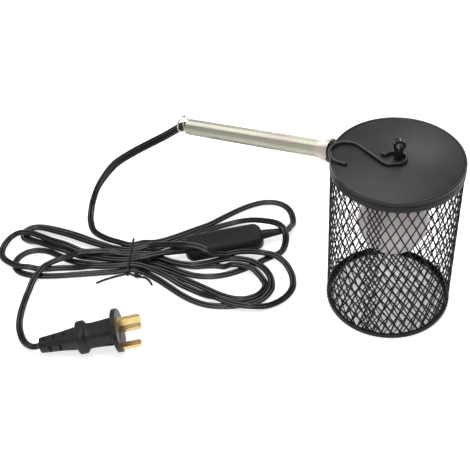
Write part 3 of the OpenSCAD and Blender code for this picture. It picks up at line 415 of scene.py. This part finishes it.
LEFT_4 = [(-271, 60.5, 1.8), (-285, 62.3, 1.8), (-298, 65, 1.8), (-309, 67.5, 1.8), (-320, 71.8, 1.8),
          (-332, 80, 1.8), (-344, 87.5, 1.8), (-356, 90, 1.8), (-367, 87.5, 1.8), (-375, 79.5, 1.8),
          (-376.5, 69, 1.8), (-371.5, 60, 1.8), (-360, 54, 1.8), (-347, 51.5, 1.8), (-332, 50.5, 1.8),
          (-316, 50.5, 1.8), (-300, 50.7, 1.8), (-285, 51, 1.8), (-270, 51.3, 1.9), (-256, 51.6, 3.2)]
RIGHT_5 = [(-246, 49.8, 1.9), (-237, 43.8, 1.8), (-227, 35.3, 1.8), (-216, 24.5, 1.8), (-204, 12.8, 1.8),
           (-192, 3.5, 1.8), (-179, -3, 1.8), (-165, -6, 1.8), (-150, -6.5, 1.8), (-136, -4.8, 1.8),
           (-124, -0.4, 2.4), (-115, 8.5, 5), (-113.3, 18, 5.9), (-114.5, 28, 5.9), (-118.5, 37, 5.9),
           (-124.5, 44.5, 5.9), (-132.5, 50.5, 5.9), (-142, 54.2, 5.9), (-152, 56, 5.9), (-163, 55, 5.9),
           (-176, 52, 5.9), (-190, 50.3, 5.9), (-202, 52.5, 5.9), (-213, 56.5, 5.8), (-222, 61.8, 5.65),
           (-229, 66.8, 5.65), (-235, 70, 5.65), (-241, 71.2, 5.9), (-249, 70.6, 7.1), (-256, 69.6, 7.2)]
TAIL = [(-268, 71.4, 8.2), (-276, 72.8, 10.1), (-286, 73.7, 10.6), (-297, 73.7, 11), (-308, 72.5, 12.1),
        (-318, 71, 9.4), (-328.5, 69.5, 7.4), (-338, 66, 6.4), (-345, 59.5, 7.2), (-350.5, 51, 6.6),
        (-355, 41.5, 5.6), (-358.5, 31, 2.6), (-361, 20, 1.8), (-363, 5, 1.8), (-363.5, -9, 1.8),
        (-362, -21, 1.8), (-358, -33, 2), (-352, -42.5, 4.2)]


def along_port(s):
    """A point of the port's axis, that far out of the cage"""
    return PORT_AT + s*AXIS_H


def turned(point, at, direction, tilt=0.0):
    """A point of the switch's or the plug's own frame, in the object's frame"""
    x = point[0]*math.cos(tilt) - point[2]*math.sin(tilt)
    z = point[0]*math.sin(tilt) + point[2]*math.cos(tilt)
    return np.asarray(at) + np.array([x*math.cos(direction) - point[1]*math.sin(direction),
                                      x*math.sin(direction) + point[1]*math.cos(direction), z])


def on_switch(point):
    return turned(point, SWITCH_AT, SWITCH_DIR)


def on_plug(point):
    return turned(point, PLUG_AT, PLUG_DIR, PLUG_TILT)


def ease(t):
    """From 0 to 1 with a soft start and end"""
    return t*t*(3 - 2*t)


def rolled(line, angle):
    """Sides that are turned from level by an angle at each point of the line"""
    sides = level_sides(line)
    return sides*np.cos(angle)[:, None] + np.cross(runs(line), sides)*np.sin(angle)[:, None]


def twin_cord(name, route, node_name, body=None):
    """A cord that lies flat. Where it hangs, it is turned to show its flat face, and its strands part"""
    line = spline(route, CORD_SPLINE_STEPS)
    share = ease(np.clip((line[:, 2] - ROLL_FROM)/(ROLL_TO - ROLL_FROM), 0, 1))
    outlines = [twin_outline(CORD_W + LEAD_SPREAD*t) for t in share]
    rings = sweep(line, rolled(line, -CORD_ROLL*share), outlines)
    obj = piece(name, *skin(rings), "black_cord", body, [node_name])
    return obj, [tuple(p) for p in line*MM]


def make_guard_cord():
    """The cord inside the spring: level at the gland, turned at the spring's end"""
    stops = np.linspace(CORD_START, BODY_END + CORD_OUT + CORD_FILL, GUARD_CORD_RINGS)
    share = ease(np.linspace(0, 1, GUARD_CORD_RINGS))
    line = np.array([along_port(s) for s in stops])
    outlines = [twin_outline(CORD_W + LEAD_SPREAD*t) for t in share]
    rings = sweep(line, rolled(line, -CORD_ROLL*share), outlines)
    piece("guard_cord", *skin(rings), "black_cord", "lamp_head", ["cord_in_guard"])


def make_cords():
    leave = along_port(BODY_END + CORD_OUT + CORD_STEP)
    relief = SWITCH_LEN/2 + RELIEF_LEN
    to_switch = [leave, leave + CORD_STRAIGHT*AXIS_H - CORD_DROOP, *LEAD, *RIGHT_1,
                 on_switch((relief + CORD_STRAIGHT, 0, 0)), on_switch((relief, 0, 0))]
    first, first_path = twin_cord("lamp_cord", to_switch, "cord_to_switch")
    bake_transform(first)
    to_plug = [on_switch((-relief, 0, 0)), on_switch((-relief - CORD_STRAIGHT, 0, 0)),
               *LEFT_1, *RIGHT_2, *LEFT_2, *RIGHT_3, *LEFT_3, *RIGHT_4, *LEFT_4, *RIGHT_5, *TAIL,
               on_plug((-PLUG_LEN - CORD_STRAIGHT, 0, 0)), on_plug((-PLUG_LEN, 0, 0))]
    second, second_path = twin_cord("mains_cord", to_plug, "cord_to_plug", "cage")
    switch = [*make_switch(), frame["nodes"]["switch_lower_shell"]]
    plug = [make_plug()] + [frame["nodes"][n] for n in ("pin_earth", "pin_live", "pin_neutral",
                                                       "fuse_carrier")]


# Spring guard and other wires
WIRE_END_ANGLES = (25, 50, 72, 85)


def wind(radius, s, angle):
    """A point at an angle round the port's axis"""
    return along_port(s) + radius*(math.cos(angle)*AXIS_U + math.sin(angle)*AXIS_V)


def make_spring():
    """A narrowing mouth, a close-wound body and a loose end loop, in one winding"""
    steps = SPRING_STEPS
    coil_r = SPRING_R - SPRING_WIRE_R
    mouth_r = MOUTH_R - SPRING_WIRE_R
    body_turns = round((BODY_END - MOUTH_LEN)/SPRING_PITCH)
    body_pitch = (BODY_END - MOUTH_LEN)/body_turns
    line = []
    for k in range(MOUTH_TURNS*steps):
        t = k/(MOUTH_TURNS*steps)
        s = SPRING_WIRE_R + (MOUTH_LEN - SPRING_WIRE_R)*t
        line.append(wind(mouth_r + (coil_r - mouth_r)*ease(t), s, 2*math.pi*k/steps))
    for k in range(body_turns*steps):
        line.append(wind(coil_r, MOUTH_LEN + body_pitch*k/steps, 2*math.pi*k/steps))
    for k in range(int(steps*LOOP_TURNS)):
        angle = 2*math.pi*k/steps
        t = ease(min(k/(LOOP_SWING*steps), 1))
        reach = t*(LOOP_REACH - LOOP_LEAN*math.sin(angle))
        line.append(wind(coil_r + t*LOOP_GROWS, BODY_END + reach, angle) + t*LOOP_RISE*AXIS_V)
    line = np.array(line)
    outward = line - PORT_AT
    outward = outward - (outward@AXIS_H)[:, None]*AXIS_H
    rings = sweep(line, outward, [round_outline(SPRING_WIRE_R, SPRING_WIRE_SIDES)]*len(line))
    piece("spring", *skin(rings), "zinc_wire", "lamp_head", ["spring_guard"])


def rounded_end(ring, centre, out, radius):
    """Rings that close the end of a wire with a dome"""
    angles = [math.radians(a) for a in WIRE_END_ANGLES]
    return [[centre + (p - centre)*math.cos(a) + out*radius*math.sin(a) for p in ring] for a in angles]


def tube(name, line, radius, slot, body, stands_for=(), count=16, across=(0, 0, 1)):
    """A round wire along a line, with rounded ends. Its rings are set across a direction"""
    line = np.asarray(line, float)
    ahead = runs(line)
    sides = np.cross(ahead, np.cross(np.broadcast_to(np.array(across, float), line.shape), ahead))
    rings = sweep(line, sides, [round_outline(radius, count)]*len(line))
    first = rounded_end(rings[0], line[0], -ahead[0], radius)[::-1]
    last = rounded_end(rings[-1], line[-1], ahead[-1], radius)
    return piece(name, *skin(first + rings + last), slot, body, stands_for)


# Hook: straights and arcs laid end to end, flat on the lid, round the shank. Each has a length or a
# radius, and the angle it turns through
HOOK_WIRE_R = 1.5
HOOK_GAP = 0.3
SMALL_LOOP_R = 8.3
LARGE_LOOP_R = 15
HOOK_START = (-13.5, SMALL_LOOP_R - 2.9)
HOOK_HEADING = math.radians(-42)
HOOK_Z = CAGE_H + HOOK_GAP + HOOK_WIRE_R
HOOK_PATH = [("line", 1, 0), ("arc", 3.2, 72), ("line", 2, 0), ("arc", 9, -30), ("line", 1.4, 0),
             ("arc", SMALL_LOOP_R, -180), ("line", 6.5, 0), ("arc", SMALL_LOOP_R, -55), ("line", 30.2, 0),
             ("arc", LARGE_LOOP_R, 225)]
LINE_STEPS = 8
DEGREES_A_STEP = 7


def make_hook():
    x, y = HOOK_START
    heading = HOOK_HEADING
    line = [(x, y, HOOK_Z)]
    for kind, size, bend in HOOK_PATH:
        steps = LINE_STEPS if kind == "line" else int(abs(bend)/DEGREES_A_STEP)
        for _ in range(steps):
            if kind == "line":
                step = size/steps
            else:
                turn = math.radians(bend)/steps
                step = 2*size*math.sin(abs(turn)/2)
                heading += turn/2
            x += step*math.cos(heading)
            y += step*math.sin(heading)
            if kind == "arc":
                heading += turn/2
            line.append((x, y, HOOK_Z))
    wire = tube("hook_wire", line, HOOK_WIRE_R, "coated_steel", "hook", ["s_hook"])
    wire.material_slots[0].material = GLOSSY_COAT


# Twist tie round the hank, with a knot and two tails
TIE_MID = np.array([-256, 67.8, 5.2])
TIE_HALF_Y = 20.5
TIE_HALF_Z = 4.5
TIE_BEND = 1.4
TIE_LEAN = 0.11
TIE_DEGREES_A_MM = 200
TIE_FROM = 195
TIE_TO = 555
TIE_STEP = 30
TIE_R = 1.15
TIE_SIDES = 10
TIE_ACROSS = (0.9, 0.1, 0.42)
LEFT_TAIL = [(-290, 37.4, 0.95), (-284, 40.5, 0.95), (-277, 43, 1.2), (-269.5, 45.3, 1.2),
             (-262, 47.2, 1.1)]
RIGHT_TAIL = [(-257, 46.8, 2.2), (-253, 44.6, 1.6), (-250, 42.4, 1.6), (-245.5, 41.8, 1.3),
              (-241, 40.4, 1), (-236.5, 35.5, 0.95), (-234, 30, 0.95)]
KNOT_AT = np.array([-249.5, 42.8, 2.8])
KNOT_RUN = np.array([0.8, -0.5, 0])
KNOT_COIL = (0.2, 1.6, 1.5)
KNOT_TURNS = 2.25
KNOT_LEN = 4.6
KNOT_STEPS = 40
KNOT_THIN = 0.9
KNOT_LOOP_AT = np.array([2, 1.6, 0])
KNOT_LOOP = (2.2, 2.4, 0.4)
KNOT_LOOP_OPEN = 150
KNOT_LOOP_STEP = 20
KNOT_LOOP_THIN = 0.7


def tie_ring(degrees):
    """A point of the band: a box with round corners, a little askew, that moves on as it winds"""
    c = math.cos(math.radians(degrees))
    s = math.sin(math.radians(degrees))
    y = (TIE_HALF_Y - TIE_BEND)*math.copysign(1, c) + TIE_BEND*c
    z = (TIE_HALF_Z - TIE_BEND)*math.copysign(1, s) + TIE_BEND*s
    return TIE_MID + [(degrees - 360)/TIE_DEGREES_A_MM + TIE_LEAN*y, y, z]


def make_tie():
    band = [tuple(tie_ring(a)) for a in range(TIE_FROM, TIE_TO + 1, TIE_STEP)]
    line = spline(LEFT_TAIL + band + RIGHT_TAIL, 6)
    line[:, 2] = np.maximum(line[:, 2], TIE_R + FLOOR_GAP)
    tube("tie", line, TIE_R, "black_plastic", "cage", ["twist_tie"], TIE_SIDES, TIE_ACROSS)
    knot = []
    x, y, z = KNOT_COIL
    for k in range(KNOT_STEPS + 1):
        a = 2*math.pi*KNOT_TURNS*k/KNOT_STEPS
        along = KNOT_LEN*(k/KNOT_STEPS - 0.5)
        knot.append(KNOT_AT + (KNOT_RUN*along + [x*math.sin(a), y*math.cos(a), z*math.sin(a)]))
    tube("tie_knot", knot, TIE_R*KNOT_THIN, "black_plastic", "cage", (), TIE_SIDES)
    x, y, z = KNOT_LOOP
    turn = np.radians(np.arange(-KNOT_LOOP_OPEN, KNOT_LOOP_OPEN + 1, KNOT_LOOP_STEP))
    loop = [KNOT_AT + (KNOT_LOOP_AT + [x*math.cos(a), y*math.sin(a), z*math.cos(a)]) for a in turn]
    tube("tie_loop", loop, TIE_R*KNOT_LOOP_THIN, "black_plastic", "cage", (), TIE_SIDES)


# Plug: half width and half height at each distance from the face, then the face's radius at each
PLUG_SECTIONS = [(-78, 5.6, 5.6), (-77.5, 6.5, 6.5), (-76.4, 7, 7), (-60, 8.4, 8.1), (-45, 9.7, 9.2),
                 (-42.4, 10, 9.4), (-42, 10.6, 10), (-41.5, 12.9, 12.1), (-40.8, 13.8, 12.9),
                 (-39, 14.2, 13.3), (-34.6, 14.2, 13.3), (-33.4, 13.8, 12.9), (-32.4, 12.6, 11.9),
                 (-31.4, 11.4, 10.8), (-29.5, 10.9, 10.3), (-24, 10.9, 10.3), (-14, 11.5, 10.8),
                 (-4.5, 12.4, 11.6)]
FACE_SECTIONS = [(-5, 20), (-4.8, 20.6), (-4.3, 20.95), (-3.6, 21), (-1.2, 21), (-0.5, 20.9), (0, 20.5)]
PLUG_SIDES = 64
FACE_SIDES = 72

# The relief is nearly round and the grip boxy: powers of the outline, and where it changes over
RELIEF_POWER = 2.6
GRIP_POWER = 3.5
POWER_FROM = -60
POWER_OVER = 20

# Slots in the relief's top and side, a little further from its axis as it grows, and the flats where
# fingers hold the grip
SLOT_W = 2.8
SLOT_STEP = 10
TOP_SLOTS = 3
TOP_SLOTS_AT = 5.5
TOP_SLOTS_Y = -2
TOP_SLOTS_Z = 5
SIDE_SLOTS = 2
SIDE_SLOTS_AT = 10.5
SIDE_SLOTS_Y = -5.2
SIDE_SLOTS_Z = 4.3
RELIEF_GROWS = 0.7
RELIEF_CLEAR = 12
FLAT_FROM = -26
FLAT_TO = -8
FLAT_Y = 10.4
FLAT_HALF_H = 6.5
PLUG_CLEAR = 16


def plug_ring(x, a, b):
    """A ring between an ellipse and a box round the plug's axis"""
    ring = []
    share = ease(min(max((x - POWER_FROM)/POWER_OVER, 0), 1))
    power = RELIEF_POWER + (GRIP_POWER - RELIEF_POWER)*share
    for k in range(PLUG_SIDES):
        t = 2*math.pi*(k + 0.5)/PLUG_SIDES
        f = (abs(math.cos(t))**power + abs(math.sin(t))**power)**(-1/power)
        ring.append(on_plug((x, a*f*math.cos(t), b*f*math.sin(t))))
    return ring


def block(low, high, place):
    """The corners and faces of a box, placed by a function"""
    corners = [place((x, y, z))
               for x in (low[0], high[0]) for y in (low[1], high[1]) for z in (low[2], high[2])]
    faces = [(0, 1, 3, 2), (4, 6, 7, 5), (0, 4, 5, 1), (2, 3, 7, 6), (0, 2, 6, 4), (1, 5, 7, 3)]
    return corners, faces


def combine(obj, shapes, operation):
    """Cuts shapes out of a piece, or joins them to it, and keeps the result as its mesh"""
    helpers = []
    for points, faces in shapes:
        helper = bpy.data.objects.new("helper", mesh_of("helper", points, faces))
        bpy.context.scene.collection.objects.link(helper)
        helpers.append(helper)
        step = obj.modifiers.new("combine", "BOOLEAN")
        step.operation = operation
        step.solver = "EXACT"
        step.object = helper
    seen = obj.evaluated_get(bpy.context.evaluated_depsgraph_get())
    mesh = bpy.data.meshes.new_from_object(seen)
    obj.modifiers.clear()
    obj.data = mesh
    mesh.shade_smooth()
    mesh.set_sharp_from_angle(angle=CUT_SMOOTH)
    for helper in helpers:
        bpy.data.objects.remove(helper)


def make_plug():
    rings = [plug_ring(*section) for section in spline(PLUG_SECTIONS, 3)]
    body = piece("plug_grip", *skin(rings), "black_plastic", "cage", ["plug_body"])
    turn = np.linspace(0, 2*math.pi, FACE_SIDES, False)
    face = [[on_plug((x, r*math.cos(a), r*math.sin(a))) for a in turn] for x, r in FACE_SECTIONS]
    combine(body, [skin(face)], "UNION")
    cuts = []
    for i in range(TOP_SLOTS):
        x = -PLUG_LEN + TOP_SLOTS_AT + SLOT_STEP*i
        low = (x - SLOT_W/2, TOP_SLOTS_Y, TOP_SLOTS_Z + RELIEF_GROWS*i)
        cuts.append(block(low, (x + SLOT_W/2, PLUG_CLEAR, RELIEF_CLEAR), on_plug))
    for i in range(SIDE_SLOTS):
        x = -PLUG_LEN + SIDE_SLOTS_AT + SLOT_STEP*i
        high = (x + SLOT_W/2, SIDE_SLOTS_Y - RELIEF_GROWS*i, SIDE_SLOTS_Z)
        cuts.append(block((x - SLOT_W/2, -PLUG_CLEAR, -RELIEF_CLEAR), high, on_plug))
    for y in (-PLUG_CLEAR, FLAT_Y):
        high = (FLAT_TO, y + PLUG_CLEAR - FLAT_Y, FLAT_HALF_H)
        cuts.append(block((FLAT_FROM, y, -FLAT_HALF_H), high, on_plug))
    combine(body, cuts, "DIFFERENCE")
    return body


# Switch: the upper shell's inset at each height over the middle, and the half width and half height
# of a strain relief at each distance from the case
SHELL_PROFILE = [(0.25, 0.05), (0, 0.3), (0, 1.6), (0.35, 3.2), (1.1, 4.7), (2.2, 5.9), (3.8, 6.8),
                 (5.6, 7.3), (7.4, 7.5)]
RELIEF_PROFILE = [(-1, 5.6, 4.7), (4, 5.3, 4.3), (12, 4.6, 3.4), (RELIEF_LEN - 0.6, 4.1, 2.7),
                  (RELIEF_LEN, 3.8, 2.4)]
CASE_SIDES = 72
RELIEF_SIDES = 24


def case_ring(inset, z):
    """A box with round corners round the switch's axis"""
    ring = []
    corner = SWITCH_CORNER - inset
    for k in range(CASE_SIDES):
        a = 2*math.pi*k/CASE_SIDES
        x = math.copysign(SWITCH_LEN/2 - SWITCH_CORNER, math.cos(a)) + corner*math.cos(a)
        y = math.copysign(SWITCH_W/2 - SWITCH_CORNER, math.sin(a)) + corner*math.sin(a)
        ring.append(on_switch((x, y, z)))
    return ring


def make_switch():
    upper = piece("switch_top", *skin([case_ring(inset, z) for inset, z in SHELL_PROFILE]),
                  "black_plastic", "cage", ["switch_upper_shell"])
    upper.material_slots[0].material = MOULDED
    turn = np.linspace(0, 2*math.pi, RELIEF_SIDES, False)
    stops = spline([(SWITCH_LEN/2 + x, w, h) for x, w, h in RELIEF_PROFILE], 4)
    ends = []
    for side in (-1, 1):
        rings = [[on_switch((side*x, side*w*math.cos(a), h*math.sin(a))) for a in turn]
                 for x, w, h in stops]
        ends.append(skin(rings))
    reliefs = piece("switch_ends", *joined(ends), "black_plastic", "cage", ["switch_reliefs"])
    return upper, reliefs


# Lid: its edge is rolled into a bead, over a skirt with a crease round it; the skirt has a darker coat
# than the top, a painted shade. The profiles are radii and heights from the lid's top
LID_SIDES = 160
LID_EDGE = CAGE_R - 0.15
LID_IN = CAGE_R - LID_T
LID_PROFILE = [(0.01, 0), (CAGE_R - 3.4, 0), (CAGE_R - 2.6, -0.5), (CAGE_R - 1, -1), (LID_EDGE, -1.7),
               (LID_IN, -LID_T - 0.9), (CAGE_R - 3.6, -LID_T), (0.01, -LID_T)]
SKIRT_PROFILE = [(LID_EDGE, -1.6), (LID_EDGE, -SKIRT_H + 0.2), (LID_EDGE - 0.2, -SKIRT_H),
                 (LID_IN, -SKIRT_H), (LID_IN, -1.6)]
BEAD_R = 1.3
BEAD_IN = 1.35
BEAD_DOWN = 1.15
CREASE_R = 0.34
CREASE_IN = 0.35
CREASE_DOWN = 3.6
HOOP_SIDES = 12


def lid_rings(profile):
    """A profile turned round the cage's axis"""
    turn = [2*math.pi*k/LID_SIDES for k in range(LID_SIDES)]
    return [[(r*math.cos(a), r*math.sin(a), CAGE_H + z) for a in turn] for r, z in profile]


def hoop(name, radius, height, wire_r):
    """A wire ring round the lid"""
    turn = np.linspace(0, 2*math.pi, LID_SIDES, False)
    ring = [(radius*math.cos(a), radius*math.sin(a), height) for a in turn]
    line = np.array(ring + ring[:3])
    rings = sweep(line, line*[1, 1, 0], [round_outline(wire_r, HOOP_SIDES)]*len(line))[1:-1]
    obj = piece(name, *skin(rings), "lid_coat", "lamp_head")
    obj.material_slots[0].material = GLOSSY_COAT


def make_lid():
    piece("pressed_lid", *skin(lid_rings(LID_PROFILE)), "lid_coat", "lamp_head", ["lid"])
    rings = lid_rings(SKIRT_PROFILE)
    # The skirt is part of the same pressed lid, but takes the cage's darker coat: a painted shade on the
    # lid's side
    piece("lid_skirt", *skin(rings + [rings[0]], False), "coated_steel", "lamp_head")
    hoop("lid_bead", CAGE_R - BEAD_IN, CAGE_H - BEAD_DOWN, BEAD_R)
    hoop("lid_crease", CAGE_R - CREASE_IN, CAGE_H - CREASE_DOWN, CREASE_R)


# Bottom rim: a low folded band over the cut ends of the mesh, which lift it in a row of lozenges
LOW_RIM_H = 5.4
LOW_RIM_R = 57.6
LEDGE_R = 55.4
LEDGE_T = 0.7
FOLD_DEPTH = 0.55
FOLD_SLANT = 0.8
STEPS_A_COLUMN = 16


def make_bottom_rim():
    """Each stop of the outline has a radius, a height and its share of the dents"""
    outline = [(LEDGE_R, 0, 0), (58.9, 0, 0), (59.5, 0.3, 0.3)]
    outline += [(60, 0.8 + 0.5*k, 1) for k in range(9)]
    outline += [(59.7, LOW_RIM_H - 0.15, 0.6), (58.8, LOW_RIM_H, 0.2), (57.9, LOW_RIM_H - 0.1, 0),
                (LOW_RIM_R, LOW_RIM_H - 0.5, 0), (LOW_RIM_R, LEDGE_T, 0), (LEDGE_R, LEDGE_T, 0)]
    count = MESH_COLUMNS*STEPS_A_COLUMN
    rings = []
    for r, z, share in outline:
        ring = []
        for k in range(count):
            a = 2*math.pi*k/count
            wave = math.cos(MESH_COLUMNS*a + FOLD_SLANT*z)*math.cos(MESH_COLUMNS*a - FOLD_SLANT*z)
            dent = share*FOLD_DEPTH*(1 - wave*wave)
            ring.append(((r - dent)*math.cos(a), (r - dent)*math.sin(a), z))
        rings.append(ring)
    obj = piece("low_rim", *skin(rings + [rings[0]], False), "coated_steel", "cage", ["cage_bottom_rim"])
    obj.material_slots[0].material = FOLDED_RIM


# Seam of the rolled mesh: the sheet's two edges overlap, so a few strands are doubled
SEAM_FROM = 236
SEAM_LAYER = 1.5
SEAM_LINES = 3
SEAM_STRAND = [(0.4, -0.6), (0.4, 0.6), (-0.4, 0.6), (-0.4, -0.6)]


def make_seam():
    """Zigzag strands from the bottom rim to the top one, a layer inside the mesh"""
    step = 360/MESH_COLUMNS/2
    radius = MESH_R - SEAM_LAYER
    strands = []
    for column in range(SEAM_LINES):
        line = []
        for k in range(MESH_HALF_ROWS + 1):
            swing = (k + column) % 2
            angle = math.radians(SEAM_FROM + step*(column + swing))
            z = MESH_LOW + (MESH_HIGH - MESH_LOW)*k/MESH_HALF_ROWS
            line.append((radius*math.cos(angle), radius*math.sin(angle), z))
        line = np.array(line)
        strands.append(skin(sweep(line, line*[1, 1, 0], [SEAM_STRAND]*len(line))))
    piece("mesh_seam", *joined(strands), "coated_steel", "cage")


# Floor, backdrop and light, in metres. Round the lamp the floor glows white, and in a disc under the
# cage its glow is lower: a painted shade, seen through the cage
FLOOR_HALF = 8
FLOOR_Z = -0.0002
FLOOR_COLOUR = (0.86, 0.86, 0.86, 1)
FLOOR_ROUGHNESS = 0.9
FLOOR_SPECULAR = 0.1
FLOOR_GLOW = 0.6
PAINTED_SHADE_GLOW = 0.3
PAINTED_SHADE_R = 0.056
PAINTED_SHADE_EDGE = 0.004
SKY_LEVEL = 0.4
WHITE = (1, 1, 1, 1)

# Lamps: a place, a target and a size in metres, and a power in watts
LAMPS = {"key": ((-0.25, 0.3, 1.5), (-0.2, 0.05, 0), 1.5, 16.5),
         "back": ((0.5, 1.25, 1.0), (0, 0, 0.17), 0.5, 3),
         "front": ((-0.35, -1.2, 1.05), (-0.2, 0, 0.05), 0.5, 4)}


def seen_by(tree, rays, strength):
    """That strength for rays of these kinds, and nothing for the rest"""
    path = node(tree, "ShaderNodeLightPath")
    seen = path.outputs[rays[0]]
    for other in rays[1:]:
        seen = math_node(tree, "MAXIMUM", seen, path.outputs[other])
    return math_node(tree, "MULTIPLY", seen, strength)


def make_stage():
    corners = [(-1, -1), (1, -1), (1, 1), (-1, 1)]
    mesh = bpy.data.meshes.new("floor")
    mesh.from_pydata([(x*FLOOR_HALF, y*FLOOR_HALF, FLOOR_Z) for x, y in corners], [], [(0, 1, 2, 3)])
    floor = bpy.data.objects.new("floor", mesh)
    bpy.context.scene.collection.objects.link(floor)
    material = bpy.data.materials.new("floor_paint")
    material.use_nodes = True
    tree = material.node_tree
    shader = tree.nodes["Principled BSDF"]
    shader.inputs["Base Color"].default_value = FLOOR_COLOUR
    shader.inputs["Roughness"].default_value = FLOOR_ROUGHNESS
    shader.inputs["Specular IOR Level"].default_value = FLOOR_SPECULAR
    shader.inputs["Emission Color"].default_value = WHITE
    place = node(tree, "ShaderNodeTexCoord")
    distance = tree.nodes.new("ShaderNodeVectorMath")
    distance.operation = "LENGTH"
    tree.links.new(place.outputs["Object"], distance.inputs[0])
    # Painted shade: the glow is lower in a disc under the cage
    outside = spread(tree, distance.outputs["Value"], PAINTED_SHADE_GLOW, 1, PAINTED_SHADE_R, PAINTED_SHADE_R + PAINTED_SHADE_EDGE)
    rays = ["Is Camera Ray", "Is Transmission Ray", "Is Glossy Ray"]
    glow = math_node(tree, "MULTIPLY", outside, seen_by(tree, rays, FLOOR_GLOW))
    tree.links.new(glow, shader.inputs["Emission Strength"])
    mesh.materials.append(material)


def make_world():
    world = bpy.data.worlds.new("studio")
    world.use_nodes = True
    bpy.context.scene.world = world
    tree = world.node_tree
    tree.nodes["Background"].inputs["Color"].default_value = WHITE
    rays = ["Is Camera Ray", "Is Transmission Ray"]
    level = math_node(tree, "ADD", seen_by(tree, rays, 1 - SKY_LEVEL), SKY_LEVEL)
    tree.links.new(level, tree.nodes["Background"].inputs["Strength"])


def make_lamp(name, at, target, size, power):
    data = bpy.data.lights.new(name, "AREA")
    data.shape = "DISK"
    data.size = size
    data.energy = power
    lamp = bpy.data.objects.new(name, data)
    bpy.context.scene.collection.objects.link(lamp)
    lamp.location = at
    aim = Vector(target) - Vector(at)
    lamp.rotation_mode = "QUATERNION"
    lamp.rotation_quaternion = aim.to_track_quat("-Z", "Y")


def main():
    bpy.context.scene.view_settings.view_transform = "Standard"
    make_camera()
    make_cords()
    make_guard_cord()
    make_spring()
    make_hook()
    make_tie()
    make_lid()
    make_bottom_rim()
    make_seam()
    dress_cad_nodes()
    make_stage()
    make_world()
    for name, settings in LAMPS.items():
        make_lamp(name, *settings)


main()
